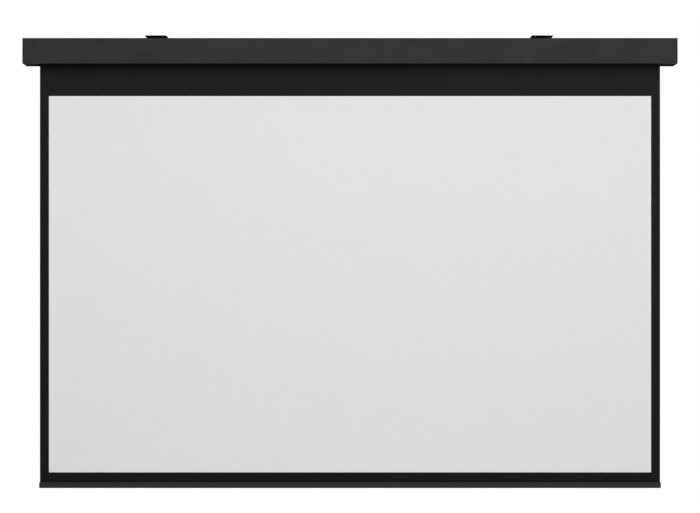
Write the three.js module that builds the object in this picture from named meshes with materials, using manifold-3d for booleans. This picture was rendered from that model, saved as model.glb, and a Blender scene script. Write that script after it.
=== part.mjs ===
// Motorized projection screen. A square aluminium case holds a tubular motor and a roller.
// A white viewing surface with black borders hangs from the roller, with a weight bar in its hem.
// Two hangers slide in the track on top of the case.
// Millimetres. X runs along the case, Y to the back, Z up. The origin is the middle of the case's top face.

import * as THREE from 'three';
import { mergeVertices } from 'three/addons/utils/BufferGeometryUtils.js';
import Module from 'manifold-3d';

// Driving sizes of the whole screen
const caseDepth = 84;
const caseHeight = 84;
const viewWidth = 2000;
const viewHeight = 1250;
const blackDrop = 100;
const sideBorder = 30;
const lowerBorder = 32.5;
const endRoom = 45;
const rollerRadius = 25;
const hangerSetbackLeft = 437;
const hangerSetbackRight = 443;

// Clearances
const seatGap = 0.3;
const slipGap = 0.15;
const runningGap = 0.2;
const laminateGap = 0.05;
const windGap = 0.45;
const overrun = 2;
const mergeTolerance = 0.0001;

// Case extrusion
const caseWall = 1.8;
const caseEdgeRadius = 2;
const frontLip = 8;
const lipReturn = 4;
const mouthRoom = 2.4;
const portRadius = 3.8;
const portInset = 5.6;
const lowerPortRise = 22;
const portSlit = 2;

// Hanger track in the top of the case
const trackY = 16;
const trackMouth = 7;
const trackRoom = 13;
const trackLip = 2.2;
const trackDepth = 5;
const trackWall = 1.6;

// Roller tube and the fabric wound on it
const rollerWall = 1.5;
const splineRadius = 1.6;
const splineWall = 1.2;
const splineMouth = 1.4;
const splineMouthDepth = 1.1;
const windRoom = 4;
const fabricThickness = 0.3;
const coatThickness = 0.2;
const woundTurns = 2.25;
const rollerEndMargin = 4;

// End caps, their bosses and the closed ends of the underside
const capPlate = 3;
const capSeam = 0.2;
const bossRadius = 4.2;
const bossHeight = 8;
const bossOffsetY = 20;
const bossOffsetZ = 23;
const spigotDepth = 6;
const spigotWall = 1.6;
const shelfWall = 2.2;
const shelfSideGap = 1.5;
const gussetWall = 1.8;
const gussetHeight = 8;
const gussetOffsetY = 26;

// Screws
const screwRadius = 1.8;
const screwHeadRadius = 3.5;
const screwHeadHeight = 2;
const screwLength = 14;
const plateScrewLength = 9;
const recessWidth = 0.9;
const recessSpan = 3.6;
const recessDepth = 1.1;

// Bracket plates that carry the roller
const bracketThickness = 2.5;
const bracketWidth = 54;
const bracketHeight = 60;
const bracketCorner = 6;
const bracketStandoff = 0.3;

// Tubular motor
const motorRadius = 17.5;
const motorLength = 480;
const gearboxLength = 120;
const seamDepth = 0.55;
const seamWidth = 2.2;
const headRadius = 22;
const headLength = 23.6;
const headFlatDrop = 18;
const spigotSquare = 12;
const spigotReach = 5;
const clipGrooveDepth = 1.2;
const clipGrooveWidth = 1.4;
const clipThickness = 1;
const clipRadius = 10;
const crownFlange = 2.7;
const crownLength = 16;
const shaftSquare = 10;
const shaftLength = 34;
const wheelOffset = 6;
const wheelLength = 26;
const wheelRim = 2.4;
const wheelHub = 8.5;
const wheelSpoke = 2.2;
const wheelSpokes = 6;
const adjusterRadius = 2.8;
const adjusterLength = 9;
const adjusterProud = 1.5;
const adjusterSpacing = 18;
const adjusterSocket = 1.7;
const adjusterSocketDepth = 3;
const adjusterAccess = 3.6;

// Internal lead, its connector and the cable grommet
const leadRadius = 2.2;
const leadBend = 8;
const leadBossRadius = 3.6;
const leadBossReach = 2.2;
const leadSetback = 6;
const leadRise = -6;
const connectorLength = 13;
const connectorHeight = 9;
const grommetBore = 3.6;
const grommetNeck = 4.8;
const grommetFlange = 6.2;
const grommetRecess = 1.3;

// Idler end
const idlerPinRadius = 6;
const idlerPinReach = 5;
const idlerPinLength = 58;
const bushWall = 2.8;
const bushFlangeRadius = 12;
const bushFlange = 2.5;
const plugLength = 30;
const plugFlange = 2.7;

// Weight bar
const barHeight = 19;
const barThickness = 13;
const barCorner = 2;
const barCapPlate = 1.2;
const barCapPlug = 8;
const hemRodRadius = 2.3;
const hemRodRoom = 0.4;
const hemMouth = 1.4;
const hemLip = 2.2;
const weightRodRadius = 3.1;
const weightFloor = 2;

// Hangers
const hangerWidth = 70;
const hangerThickness = 2.5;
const hangerRise = 6.5;
const hangerFrontInset = 4;
const hangerWallRoom = 5.5;
const hangerDrop = 46;
const hangerBend = 4;
const hangerCorner = 6;
const cupMouthRadius = 19;
const cupFloorRadius = 13.5;
const hangerSlotWidth = 7;
const hangerSlotLength = 20;
const hangerSlotSpacing = 42;
const ceilingSlotInset = 20;
const wallSlotInset = 22;
const boltRadius = 3;
const boltHeadAcross = 10;
const boltHeadHeight = 4;
const nutLength = 34;
const nutHeight = 4.2;

// Sides on round pieces
const fineSides = 40;
const midSides = 24;
const smallSides = 12;
const hexSides = 6;
const windStepsPerTurn = 36;
const arcSteps = 6;

// Places worked out from the sizes above
const fabricWidth = viewWidth + sideBorder * 2;
const halfCase = fabricWidth / 2 + endRoom;
const halfDepth = caseDepth / 2;
const trackBase = trackLip + trackDepth + trackWall;
const windPitch = fabricThickness + windGap;
const windStart = rollerRadius + seatGap + fabricThickness / 2;
const sheetY = windStart + windPitch * woundTurns;
const rollRadius = sheetY + fabricThickness / 2;
const rollerZ = -(trackBase + windRoom + rollRadius);
const viewTop = -(caseHeight + blackDrop);
const barTop = viewTop - viewHeight - lowerBorder;
const barHalf = fabricWidth / 2 + seatGap + barCapPlate;
const shelfEnd = barHalf + shelfSideGap;
const mouthFront = -halfDepth + frontLip;
const mouthBack = sheetY + barThickness / 2 + mouthRoom;
const rollerLeft = -(fabricWidth / 2 + rollerEndMargin);
const portY = halfDepth - portInset;
const ports = [
  [-portY, -portInset],
  [portY, -portInset],
  [-portY, lowerPortRise - caseHeight],
  [portY, lowerPortRise - caseHeight],
];
const bossPlaces = [
  [-bossOffsetY, rollerZ + bossOffsetZ],
  [bossOffsetY, rollerZ - bossOffsetZ],
];
const bossTip = halfCase - capPlate - bossHeight;
const bracketOuter = bossTip - bracketStandoff;
const bracketInner = bracketOuter - bracketThickness;
const headOuter = bracketInner - seatGap;
const headInner = headOuter - headLength;
const plugFlangeOuter = bracketInner - seatGap - bushFlange - seatGap;
const rollerRight = plugFlangeOuter - plugFlange - seatGap;
const splineCentre = rollerRadius - splineMouthDepth - splineRadius - seatGap;
const splineRoom = splineRadius + seatGap;
const keyRadius = splineRoom + splineWall;
const plugRadius = rollerRadius - rollerWall - runningGap;
const adjusterX = -(headOuter + headInner) / 2;
const connectorY = (bracketWidth / 2 + halfDepth - caseWall - seatGap) / 2 + slipGap;
const grommetZ = rollerZ + leadRise;

// Materials
function paint(color, roughness, metalness) {
  return new THREE.MeshStandardMaterial({ color, roughness, metalness });
}
const materials = {
  casePaint: paint(0x343536, 0.55, 0.2),
  capPlastic: paint(0x2b2c2d, 0.6, 0),
  blackSteel: paint(0x18191a, 0.5, 0.3),
  zinc: paint(0xb9bcc0, 0.35, 0.9),
  rawAluminium: paint(0xc3c6ca, 0.4, 0.9),
  motorSteel: paint(0x8d9196, 0.45, 0.8),
  motorPlastic: paint(0x3a3d42, 0.5, 0),
  nylon: paint(0xe4e2da, 0.5, 0),
  blackFabric: paint(0x232325, 0.9, 0),
  whiteCoat: paint(0xe6e6e4, 0.85, 0),
  barPaint: paint(0x323334, 0.5, 0.2),
  rubber: paint(0x161617, 0.8, 0),
  adjusterYellow: paint(0xd9c23a, 0.5, 0),
  adjusterWhite: paint(0xeeeeec, 0.5, 0),
};

// Solids for cutting and joining
const wasm = await Module();
wasm.setup();

function toSolid(geometry) {
  const bare = geometry.clone();
  bare.deleteAttribute('normal');
  bare.deleteAttribute('uv');
  const merged = mergeVertices(bare, mergeTolerance);
  const vertProperties = merged.getAttribute('position').array;
  const triVerts = new Uint32Array(merged.getIndex().array);
  return new wasm.Manifold(new wasm.Mesh({ numProp: 3, vertProperties, triVerts }));
}

function toGeometry(solid) {
  const mesh = solid.getMesh();
  const geometry = new THREE.BufferGeometry();
  geometry.setAttribute('position', new THREE.BufferAttribute(mesh.vertProperties, 3));
  geometry.setIndex(new THREE.BufferAttribute(mesh.triVerts, 1));
  geometry.computeVertexNormals();
  return geometry;
}

function join(geometries) {
  return geometries.map(toSolid).reduce((all, one) => all.add(one));
}

function cut(solid, geometries) {
  return geometries.map(toSolid).reduce((left, one) => left.subtract(one), solid);
}

// Basic forms, placed by the corners or ends that they reach
function block(x0, x1, y0, y1, z0, z1) {
  const box = new THREE.BoxGeometry(Math.abs(x1 - x0), Math.abs(y1 - y0), Math.abs(z1 - z0));
  return box.translate((x0 + x1) / 2, (y0 + y1) / 2, (z0 + z1) / 2);
}

function rodAlongX(radius, x0, x1, y, z, sides) {
  const rod = new THREE.CylinderGeometry(radius, radius, Math.abs(x1 - x0), sides);
  return rod.rotateZ(Math.PI / 2).translate((x0 + x1) / 2, y, z);
}

function rodAlongY(radius, x, y0, y1, z, sides) {
  const rod = new THREE.CylinderGeometry(radius, radius, Math.abs(y1 - y0), sides);
  return rod.translate(x, (y0 + y1) / 2, z);
}

function rodAlongZ(radius, x, y, z0, z1, sides) {
  const rod = new THREE.CylinderGeometry(radius, radius, Math.abs(z1 - z0), sides);
  return rod.rotateX(Math.PI / 2).translate(x, y, (z0 + z1) / 2);
}

// A section drawn in Y and Z, run along X from x0 to x1
function runAlongX(section, x0, x1) {
  const depth = Math.abs(x1 - x0);
  const run = new THREE.ExtrudeGeometry(section, { depth, bevelEnabled: false, curveSegments: arcSteps });
  const turn = new THREE.Matrix4().set(0, 0, 1, 0, 1, 0, 0, 0, 0, 1, 0, 0, 0, 0, 0, 1);
  return run.applyMatrix4(turn).translate(Math.min(x0, x1), 0, 0);
}

// Sections drawn in X and Y, run up Z, and in X and Z, run along Y
function runAlongZ(section, z0, z1) {
  const run = { depth: z1 - z0, bevelEnabled: false, curveSegments: arcSteps };
  return new THREE.ExtrudeGeometry(section, run).translate(0, 0, z0);
}

function runAlongY(section, y0, y1) {
  const run = { depth: y1 - y0, bevelEnabled: false, curveSegments: arcSteps };
  return new THREE.ExtrudeGeometry(section, run).rotateX(Math.PI / 2).translate(0, y1, 0);
}

function roundedOutline(left, right, low, high, radius) {
  const outline = new THREE.Shape();
  outline.absarc(right - radius, high - radius, radius, 0, Math.PI / 2);
  outline.absarc(left + radius, high - radius, radius, Math.PI / 2, Math.PI);
  outline.absarc(left + radius, low + radius, radius, Math.PI, Math.PI * 1.5);
  outline.absarc(right - radius, low + radius, radius, Math.PI * 1.5, Math.PI * 2);
  outline.closePath();
  return outline;
}

function circleOutline(radius, sides) {
  const points = [];
  for (let i = 0; i < sides; i += 1) {
    const turn = (Math.PI * 2 * i) / sides;
    points.push(new THREE.Vector2(radius * Math.cos(turn), radius * Math.sin(turn)));
  }
  return points;
}

function ringOutline(outer, inner, sides) {
  const outline = new THREE.Shape(circleOutline(outer, sides));
  outline.holes.push(new THREE.Path(circleOutline(inner, sides)));
  return outline;
}

// Case extrusion: square shell, hanger track, screw ports and the lips of the underside
function caseBody() {
  const end = halfCase - capPlate - capSeam;
  const inner = halfDepth - caseWall;
  const floor = -caseHeight;
  const track = trackRoom / 2 + trackWall;
  const mouth = trackMouth / 2;
  const room = trackRoom / 2;
  const portRods = ports.map(([y, z]) => rodAlongX(portRadius, -end, end, y, z, smallSides));
  const portWebs = ports.map(([y, z]) => {
    return block(-end, end, y, Math.sign(y) * halfDepth, z - portSlit, z + portSlit);
  });
  const shell = runAlongX(roundedOutline(-halfDepth, halfDepth, floor, 0, caseEdgeRadius), -end, end);
  const inside = block(-halfCase, halfCase, -inner, inner, floor + caseWall, -caseWall);
  const hollow = cut(toSolid(shell), [inside]);
  const skin = toSolid(shell);
  const added = join([
    ...portRods,
    ...portWebs,
    block(-end, end, trackY - track, trackY + track, -trackBase, -caseWall / 2),
    block(-end, end, mouthFront - caseWall, mouthFront, floor + caseWall / 2, floor + caseWall + lipReturn),
    block(-end, end, mouthBack, mouthBack + caseWall, floor + caseWall / 2, floor + caseWall + lipReturn),
  ]).intersect(skin);
  const bores = ports.map(([y, z]) => {
    return rodAlongX(screwRadius + slipGap, -halfCase, halfCase, y, z, smallSides);
  });
  const slits = ports.map(([y, z]) => {
    const inward = y - Math.sign(y) * (portRadius + overrun);
    return block(-halfCase, halfCase, y, inward, z - portSlit / 2, z + portSlit / 2);
  });
  const solid = cut(hollow.add(added), [
    ...bores,
    ...slits,
    block(-halfCase, halfCase, mouthFront, mouthBack, floor - overrun, floor + caseWall + overrun),
    block(-halfCase, halfCase, trackY - mouth, trackY + mouth, -trackLip - overrun, overrun),
    block(-halfCase, halfCase, trackY - room, trackY + room, -trackLip - trackDepth, -trackLip),
  ]);
  return toGeometry(solid);
}

// End cap moulding: outer plate, bosses, spigot ribs and the shelf that closes the end of the underside
function endCap(side) {
  const outer = side * halfCase;
  const face = side * (halfCase - capPlate);
  const tip = side * bossTip;
  const ribEnd = side * (halfCase - capPlate - spigotDepth);
  const shelfTip = side * shelfEnd;
  const ribFace = halfDepth - caseWall - seatGap;
  const ribTop = -(portInset + portRadius + seatGap);
  const ribBase = lowerPortRise - caseHeight + portRadius + seatGap;
  const shelfFront = mouthFront + seatGap;
  const shelfBack = mouthBack - seatGap;
  const root = side * (halfCase - capPlate / 2);
  const plate = runAlongX(roundedOutline(-halfDepth, halfDepth, -caseHeight, 0, caseEdgeRadius), outer, face);
  const bosses = bossPlaces.map(([y, z]) => rodAlongX(bossRadius, root, tip, y, z, smallSides));
  const gussets = [-gussetOffsetY, 0, gussetOffsetY].map((y) => gusset(side, y));
  const body = join([
    plate,
    ...bosses,
    ...gussets,
    block(root, ribEnd, -ribFace, spigotWall - ribFace, ribBase, ribTop),
    block(root, ribEnd, ribFace - spigotWall, ribFace, ribBase, ribTop),
    block(root, shelfTip, shelfFront, shelfBack, -caseHeight, shelfWall - caseHeight),
  ]);
  const screwHoles = ports.map(([y, z]) => countersink(side, y, z));
  const pilots = bossPlaces.map(([y, z]) => {
    return rodAlongX(screwRadius + slipGap, face, tip - side * overrun, y, z, smallSides);
  });
  return cut(body, [...screwHoles, ...pilots]);
}

function gusset(side, y) {
  const face = side * (halfCase - capPlate / 2);
  const tip = side * (shelfEnd + gussetHeight);
  const base = shelfWall / 2 - caseHeight;
  const rib = new THREE.Shape();
  rib.moveTo(face, base);
  rib.lineTo(tip, base);
  rib.lineTo(face, base + gussetHeight);
  rib.closePath();
  const web = new THREE.ExtrudeGeometry(rib, { depth: gussetWall, bevelEnabled: false });
  return web.rotateX(Math.PI / 2).translate(0, y + gussetWall / 2, 0);
}

function countersink(side, y, z) {
  const head = screwHeadHeight + seatGap;
  const points = [
    new THREE.Vector2(0, -overrun),
    new THREE.Vector2(screwHeadRadius + slipGap, -overrun),
    new THREE.Vector2(screwHeadRadius + slipGap, seatGap),
    new THREE.Vector2(screwRadius + slipGap, head),
    new THREE.Vector2(screwRadius + slipGap, capPlate + overrun),
    new THREE.Vector2(0, capPlate + overrun),
  ];
  const hole = new THREE.LatheGeometry(points, smallSides);
  return hole.rotateZ(side * Math.PI / 2).translate(side * halfCase, y, z);
}

function endCapLeft() {
  const outer = -halfCase - overrun;
  const face = -(halfCase - capPlate);
  const shelfTop = shelfWall - caseHeight;
  const access = [-1, 1].map((way) => {
    const y = way * adjusterSpacing / 2;
    return rodAlongZ(adjusterAccess, adjusterX, y, -caseHeight - overrun, shelfTop + overrun, smallSides);
  });
  const necking = grommetNeck + slipGap;
  const flanging = grommetFlange + slipGap;
  const pocketEnd = face + grommetRecess + seatGap;
  return toGeometry(cut(endCap(-1), [
    ...access,
    rodAlongX(necking, outer, face + overrun, connectorY, grommetZ, midSides),
    rodAlongX(flanging, outer, grommetRecess - halfCase, connectorY, grommetZ, midSides),
    rodAlongX(flanging, face, pocketEnd, connectorY, grommetZ, midSides),
  ]));
}

// Screw with a cross recess, head at the origin and shank towards +X
function screw(length, flush) {
  const collar = flush ? screwHeadHeight : 0;
  const profile = [
    new THREE.Vector2(0, 0),
    new THREE.Vector2(screwHeadRadius, 0),
    new THREE.Vector2(flush ? screwRadius : screwHeadRadius, screwHeadHeight),
    new THREE.Vector2(screwRadius, screwHeadHeight),
    new THREE.Vector2(screwRadius, screwHeadHeight - collar + length),
    new THREE.Vector2(0, screwHeadHeight - collar + length),
  ].filter((point, i, all) => i === 0 || !point.equals(all[i - 1]));
  const body = new THREE.LatheGeometry(profile, smallSides).rotateZ(-Math.PI / 2);
  const half = recessWidth / 2;
  const span = recessSpan / 2;
  const cross = [
    block(-overrun, recessDepth, -half, half, -span, span),
    block(-overrun, recessDepth, -span, span, -half, half),
  ];
  return toGeometry(cut(toSolid(body), cross));
}

// Bracket plate of one end, with a square hole for the motor or a round one for the idler bush
function bracketPlate(side, hole) {
  const half = bracketWidth / 2;
  const low = rollerZ - bracketHeight / 2;
  const outline = roundedOutline(-half, half, low, low + bracketHeight, bracketCorner);
  const plate = runAlongX(outline, side * bracketOuter, side * bracketInner);
  const holeStart = side * (bracketInner - overrun);
  const holeEnd = side * (bracketOuter + overrun);
  const holes = bossPlaces.map(([y, z]) => {
    return rodAlongX(screwRadius + slipGap, holeStart, holeEnd, y, z, smallSides);
  });
  return toGeometry(cut(toSolid(plate), [...holes, hole]));
}

function motorBracket() {
  const half = spigotSquare / 2 + slipGap;
  return bracketPlate(-1, block(-headInner, -halfCase, -half, half, rollerZ - half, rollerZ + half));
}

function idlerBracket() {
  const radius = idlerPinRadius + runningGap + bushWall + slipGap;
  return bracketPlate(1, rodAlongX(radius, headInner, halfCase, 0, rollerZ, midSides));
}

// Motor head moulding, fixed to its bracket by a square spigot and a clip
function motorHead() {
  const spigotEnd = bracketOuter + spigotReach;
  const half = spigotSquare / 2;
  const grooveOuter = bracketOuter + seatGap + clipGrooveWidth;
  const grooveInner = bracketOuter + seatGap;
  const adjusterTop = rollerZ - headFlatDrop + adjusterLength - adjusterProud + seatGap;
  const leadX = -(headInner + leadSetback);
  const head = join([
    rodAlongX(headRadius, -headOuter, -headInner, 0, rollerZ, fineSides),
    block(-spigotEnd, -headInner - headLength / 2, -half, half, rollerZ - half, rollerZ + half),
    rodAlongY(leadBossRadius, leadX, 0, headRadius + leadBossReach, grommetZ, smallSides),
  ]);
  const sockets = [-1, 1].map((way) => {
    const y = way * adjusterSpacing / 2;
    return rodAlongZ(adjusterRadius + slipGap, adjusterX, y, -caseHeight, adjusterTop, smallSides);
  });
  const wide = headRadius + overrun;
  const flat = block(-halfCase, 0, -wide, wide, rollerZ - headFlatDrop, -caseHeight);
  const tall = half + overrun;
  const groove = [-1, 1].map((way) => {
    const shoulder = way * (half - clipGrooveDepth);
    return block(-grooveInner, -grooveOuter, shoulder, way * tall, rollerZ - tall, rollerZ + tall);
  });
  return toGeometry(cut(head, [...sockets, flat, ...groove]));
}

// Spring clip, a flat fork pushed down into the two grooves of the spigot
function motorClip() {
  const x = bracketOuter + seatGap + clipGrooveWidth / 2;
  const fork = spigotSquare / 2 - clipGrooveDepth + slipGap;
  const plate = rodAlongX(clipRadius, -x - clipThickness / 2, -x + clipThickness / 2, 0, rollerZ, midSides);
  const slotTop = rollerZ + spigotSquare / 2 + slipGap;
  const slot = block(-x - overrun, -x + overrun, -fork, fork, slotTop, rollerZ - clipRadius - overrun);
  return toGeometry(cut(toSolid(plate), [slot]));
}

// Motor tube, with a rolled seam where its gearbox starts
function motorTube() {
  const start = -(headInner - seatGap);
  const seamStart = motorLength - gearboxLength;
  const profile = [
    new THREE.Vector2(0, 0),
    new THREE.Vector2(motorRadius, 0),
    new THREE.Vector2(motorRadius, seamStart),
    new THREE.Vector2(motorRadius - seamDepth, seamStart),
    new THREE.Vector2(motorRadius - seamDepth, seamStart + seamWidth),
    new THREE.Vector2(motorRadius, seamStart + seamWidth),
    new THREE.Vector2(motorRadius, motorLength),
    new THREE.Vector2(0, motorLength),
  ];
  const tube = new THREE.LatheGeometry(profile, midSides);
  return tube.rotateZ(-Math.PI / 2).translate(start, 0, rollerZ);
}

// Limit adjuster, a small screw with a hex socket that faces down
function adjuster() {
  const body = rodAlongZ(adjusterRadius, 0, 0, 0, adjusterLength, smallSides);
  const socket = rodAlongZ(adjusterSocket, 0, 0, -overrun, adjusterSocketDepth, hexSides);
  return toGeometry(cut(toSolid(body), [socket]));
}

// The bar inside the roller tube that everything turning with it is notched for
function keyNotch(x0, x1) {
  return rodAlongX(keyRadius + seatGap, x0, x1, 0, splineCentre, smallSides);
}

// Roller tube with a closed key inside and the mouth of its fabric groove on top
function rollerTube() {
  const wall = ringOutline(rollerRadius, rollerRadius - rollerWall, fineSides);
  const tube = toSolid(runAlongX(wall, rollerLeft, rollerRight));
  const outer = new THREE.Shape(circleOutline(rollerRadius, fineSides));
  const bar = toSolid(runAlongX(outer, rollerLeft, rollerRight));
  const rib = rodAlongX(keyRadius, rollerLeft, rollerRight, 0, splineCentre, smallSides);
  const key = toSolid(rib).intersect(bar);
  const mouth = splineMouth / 2;
  const end = rollerRadius + overrun;
  return toGeometry(cut(tube.add(key), [
    rodAlongX(splineRoom, -halfCase, halfCase, 0, splineCentre, smallSides),
    block(-halfCase, halfCase, -mouth, mouth, splineCentre, end),
  ]));
}

// Limit crown, a ring that the roller tube turns on the motor
function limitCrown() {
  const flangeOuter = -(headInner - seatGap);
  const flangeInner = flangeOuter + crownFlange;
  const bore = motorRadius + seatGap;
  const end = rollerLeft + crownLength;
  const ring = join([
    runAlongX(ringOutline(rollerRadius, bore, fineSides), flangeOuter, flangeInner),
    runAlongX(ringOutline(plugRadius, bore, fineSides), flangeInner - crownFlange / 2, end),
  ]);
  return toGeometry(cut(ring, [keyNotch(rollerLeft - seatGap, end + overrun)]));
}

// Wheel section: rim, hub and spokes, with windows between the spokes
function spokedOutline(boreOutline) {
  const outline = new THREE.Shape(circleOutline(plugRadius, fineSides));
  const rim = plugRadius - wheelRim - keyRadius;
  const step = (Math.PI * 2) / wheelSpokes;
  for (let i = 0; i < wheelSpokes; i += 1) {
    const middle = Math.PI / 2 + step * (i + 1 / 2);
    const outerHalf = step / 2 - Math.asin(wheelSpoke / 2 / rim);
    const innerHalf = step / 2 - Math.asin(wheelSpoke / 2 / wheelHub);
    const window = new THREE.Path();
    window.absarc(0, 0, rim, middle - outerHalf, middle + outerHalf);
    window.absarc(0, 0, wheelHub, middle + innerHalf, middle - innerHalf, true);
    window.closePath();
    outline.holes.push(window);
  }
  outline.holes.push(new THREE.Path(boreOutline));
  return outline;
}

function driveWheel() {
  const start = -(headInner - seatGap) + motorLength + wheelOffset;
  const half = shaftSquare / 2 + slipGap;
  const corners = [[-half, -half], [half, -half], [half, half], [-half, half]];
  const square = corners.map(([y, z]) => new THREE.Vector2(y, z));
  const wheel = runAlongX(spokedOutline(square), start, start + wheelLength);
  return toGeometry(cut(toSolid(wheel), [keyNotch(start - overrun, start + wheelLength + overrun)]));
}

function outputShaft() {
  const start = -(headInner - seatGap) + motorLength + seatGap;
  const half = shaftSquare / 2;
  return block(start, start + shaftLength, -half, half, -half, half);
}

function idlerPlug() {
  const bore = circleOutline(idlerPinRadius + slipGap, midSides);
  const end = rollerRight - plugLength;
  const flangeInner = plugFlangeOuter - plugFlange;
  const plug = join([
    runAlongX(ringOutline(rollerRadius, idlerPinRadius + slipGap, fineSides), flangeInner, plugFlangeOuter),
    runAlongX(spokedOutline(bore), end, flangeInner + plugFlange / 2),
  ]);
  return toGeometry(cut(plug, [keyNotch(end - overrun, flangeInner)]));
}

function idlerPin() {
  const outer = bracketOuter + idlerPinReach;
  return rodAlongX(idlerPinRadius, outer - idlerPinLength, outer, 0, 0, midSides);
}

// Flanged nylon bush in the idler bracket
function idlerBush() {
  const bore = idlerPinRadius + runningGap;
  const flangeOuter = bracketInner - seatGap;
  return toGeometry(join([
    runAlongX(ringOutline(bore + bushWall, bore, midSides), flangeOuter, bracketOuter + seatGap),
    runAlongX(ringOutline(bushFlangeRadius, bore, midSides), flangeOuter - bushFlange, flangeOuter),
  ]));
}

// A thin strip that follows a line of points, with its corners mitred
function stripOutline(points, thickness) {
  const sides = [[], []];
  points.forEach((point, i) => {
    const before = points[Math.max(i - 1, 0)];
    const after = points[Math.min(i + 1, points.length - 1)];
    const into = point.clone().sub(before).normalize();
    const out = after.clone().sub(point).normalize();
    const first = i === 0 ? out : into;
    const last = i === points.length - 1 ? into : out;
    const normal = new THREE.Vector2(-first.y - last.y, first.x + last.x).normalize();
    const mitre = thickness / 2 / normal.dot(new THREE.Vector2(-first.y, first.x));
    sides[0].push(point.clone().addScaledVector(normal, mitre));
    sides[1].push(point.clone().addScaledVector(normal, -mitre));
  });
  return new THREE.Shape([...sides[0], ...sides[1].reverse()]);
}

// Fabric left on the roller: it leaves at the back, winds over the top and ends in the groove
function windLine() {
  const points = [];
  const steps = Math.round(woundTurns * windStepsPerTurn);
  for (let i = 0; i < steps; i += 1) {
    const turn = (Math.PI * 2 * woundTurns * i) / steps;
    const radius = sheetY - windPitch * woundTurns * (i / steps);
    points.push(new THREE.Vector2(radius * Math.cos(turn), radius * Math.sin(turn)));
  }
  points.push(new THREE.Vector2(0, windStart));
  points.push(new THREE.Vector2(0, splineCentre + splineRadius + seatGap));
  return points;
}

function leastWindGap(points) {
  let least = Infinity;
  for (let i = 0; i + windStepsPerTurn < points.length - 1; i += 1) {
    least = Math.min(least, points[i].distanceTo(points[i + windStepsPerTurn]) - fabricThickness);
  }
  return least;
}

function fabricRoll() {
  const line = windLine();
  console.log(`least gap between the turns of the fabric roll: ${leastWindGap(line).toFixed(2)} mm`);
  return runAlongX(stripOutline(line, fabricThickness), -fabricWidth / 2, fabricWidth / 2);
}

function fabricSpline() {
  return rodAlongX(splineRadius, -fabricWidth / 2, fabricWidth / 2, 0, splineCentre, smallSides);
}

// Hanging sheet and the white surface on its front
const sheetTop = rollerZ - seatGap;
const hemDepth = hemLip + hemRodRoom + hemRodRadius;
const sheetBottom = barTop - (hemDepth - hemRodRadius - seatGap);

function screenSheet() {
  const half = fabricWidth / 2;
  const front = sheetY - fabricThickness / 2;
  return block(-half, half, front, front + fabricThickness, sheetBottom, sheetTop);
}

function viewingSurface() {
  const back = sheetY - fabricThickness / 2 - laminateGap;
  return block(-viewWidth / 2, viewWidth / 2, back - coatThickness, back, viewTop - viewHeight, viewTop);
}

// Weight bar section: keyhole groove for the hem rod above a round bore for the weight
function barOutline() {
  const half = barThickness / 2;
  const room = hemRodRadius + hemRodRoom;
  const lean = Math.asin(hemMouth / 2 / room);
  const side = half - barCorner;
  const low = barCorner - barHeight;
  const bar = new THREE.Shape();
  bar.absarc(0, -hemDepth, room, Math.PI / 2 + lean, Math.PI * 2.5 - lean);
  bar.lineTo(hemMouth / 2, 0);
  bar.absarc(side, -barCorner, barCorner, Math.PI / 2, 0, true);
  bar.absarc(side, low, barCorner, 0, -Math.PI / 2, true);
  bar.absarc(-side, low, barCorner, -Math.PI / 2, -Math.PI, true);
  bar.absarc(-side, -barCorner, barCorner, Math.PI, Math.PI / 2, true);
  bar.lineTo(-hemMouth / 2, 0);
  bar.closePath();
  return bar;
}

const weightDepth = barHeight - weightFloor - weightRodRadius - seatGap;

function weightBar() {
  const end = barHalf - barCapPlate - capSeam;
  const bore = rodAlongX(weightRodRadius + seatGap, -barHalf, barHalf, 0, -weightDepth, midSides);
  return toGeometry(cut(toSolid(runAlongX(barOutline(), -end, end)), [bore]));
}

function hemRod() {
  return rodAlongX(hemRodRadius, -fabricWidth / 2, fabricWidth / 2, 0, -hemDepth, smallSides);
}

function weightRod() {
  const end = barHalf - barCapPlate - barCapPlug - seatGap;
  return rodAlongX(weightRodRadius, -end, end, 0, -weightDepth, midSides);
}

function barCap(side) {
  const outer = side * barHalf;
  const face = side * (barHalf - barCapPlate);
  const half = barThickness / 2;
  const root = side * (barHalf - barCapPlate / 2);
  const tip = face - side * barCapPlug;
  return toGeometry(join([
    runAlongX(roundedOutline(-half, half, -barHeight, 0, barCorner), outer, face),
    rodAlongX(weightRodRadius, root, tip, 0, -weightDepth, midSides),
  ]));
}

// Hanger: pressed steel angle with a cup that brings its bolt down to the track
const hangerFront = hangerFrontInset - halfDepth - trackY;
const hangerBack = halfDepth + hangerWallRoom + hangerThickness - trackY;
const hangerTop = hangerRise + hangerThickness;

function hangerProfile() {
  const front = hangerFront - overrun;
  const low = -hangerDrop - overrun;
  const bendY = hangerBack - hangerBend;
  const bendZ = hangerTop - hangerBend;
  const side = new THREE.Shape();
  side.moveTo(front, hangerRise);
  side.lineTo(front, hangerTop);
  side.absarc(bendY, bendZ, hangerBend, Math.PI / 2, 0, true);
  side.lineTo(hangerBack, low);
  side.lineTo(hangerBack - hangerThickness, low);
  side.absarc(bendY, bendZ, hangerBend - hangerThickness, 0, Math.PI / 2);
  side.closePath();
  return side;
}

function slotOutline(x, middle) {
  const slot = new THREE.Shape();
  const radius = hangerSlotWidth / 2;
  const straight = (hangerSlotLength - hangerSlotWidth) / 2;
  slot.absarc(x, middle + straight, radius, 0, Math.PI);
  slot.absarc(x, middle - straight, radius, Math.PI, Math.PI * 2);
  slot.closePath();
  return slot;
}

// A cone that widens upwards, about the hanger's bolt
function cupCone(lowRadius, highRadius, z0, z1) {
  const cone = new THREE.CylinderGeometry(highRadius, lowRadius, z1 - z0, midSides);
  return cone.rotateX(Math.PI / 2).translate(0, 0, (z0 + z1) / 2);
}

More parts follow.
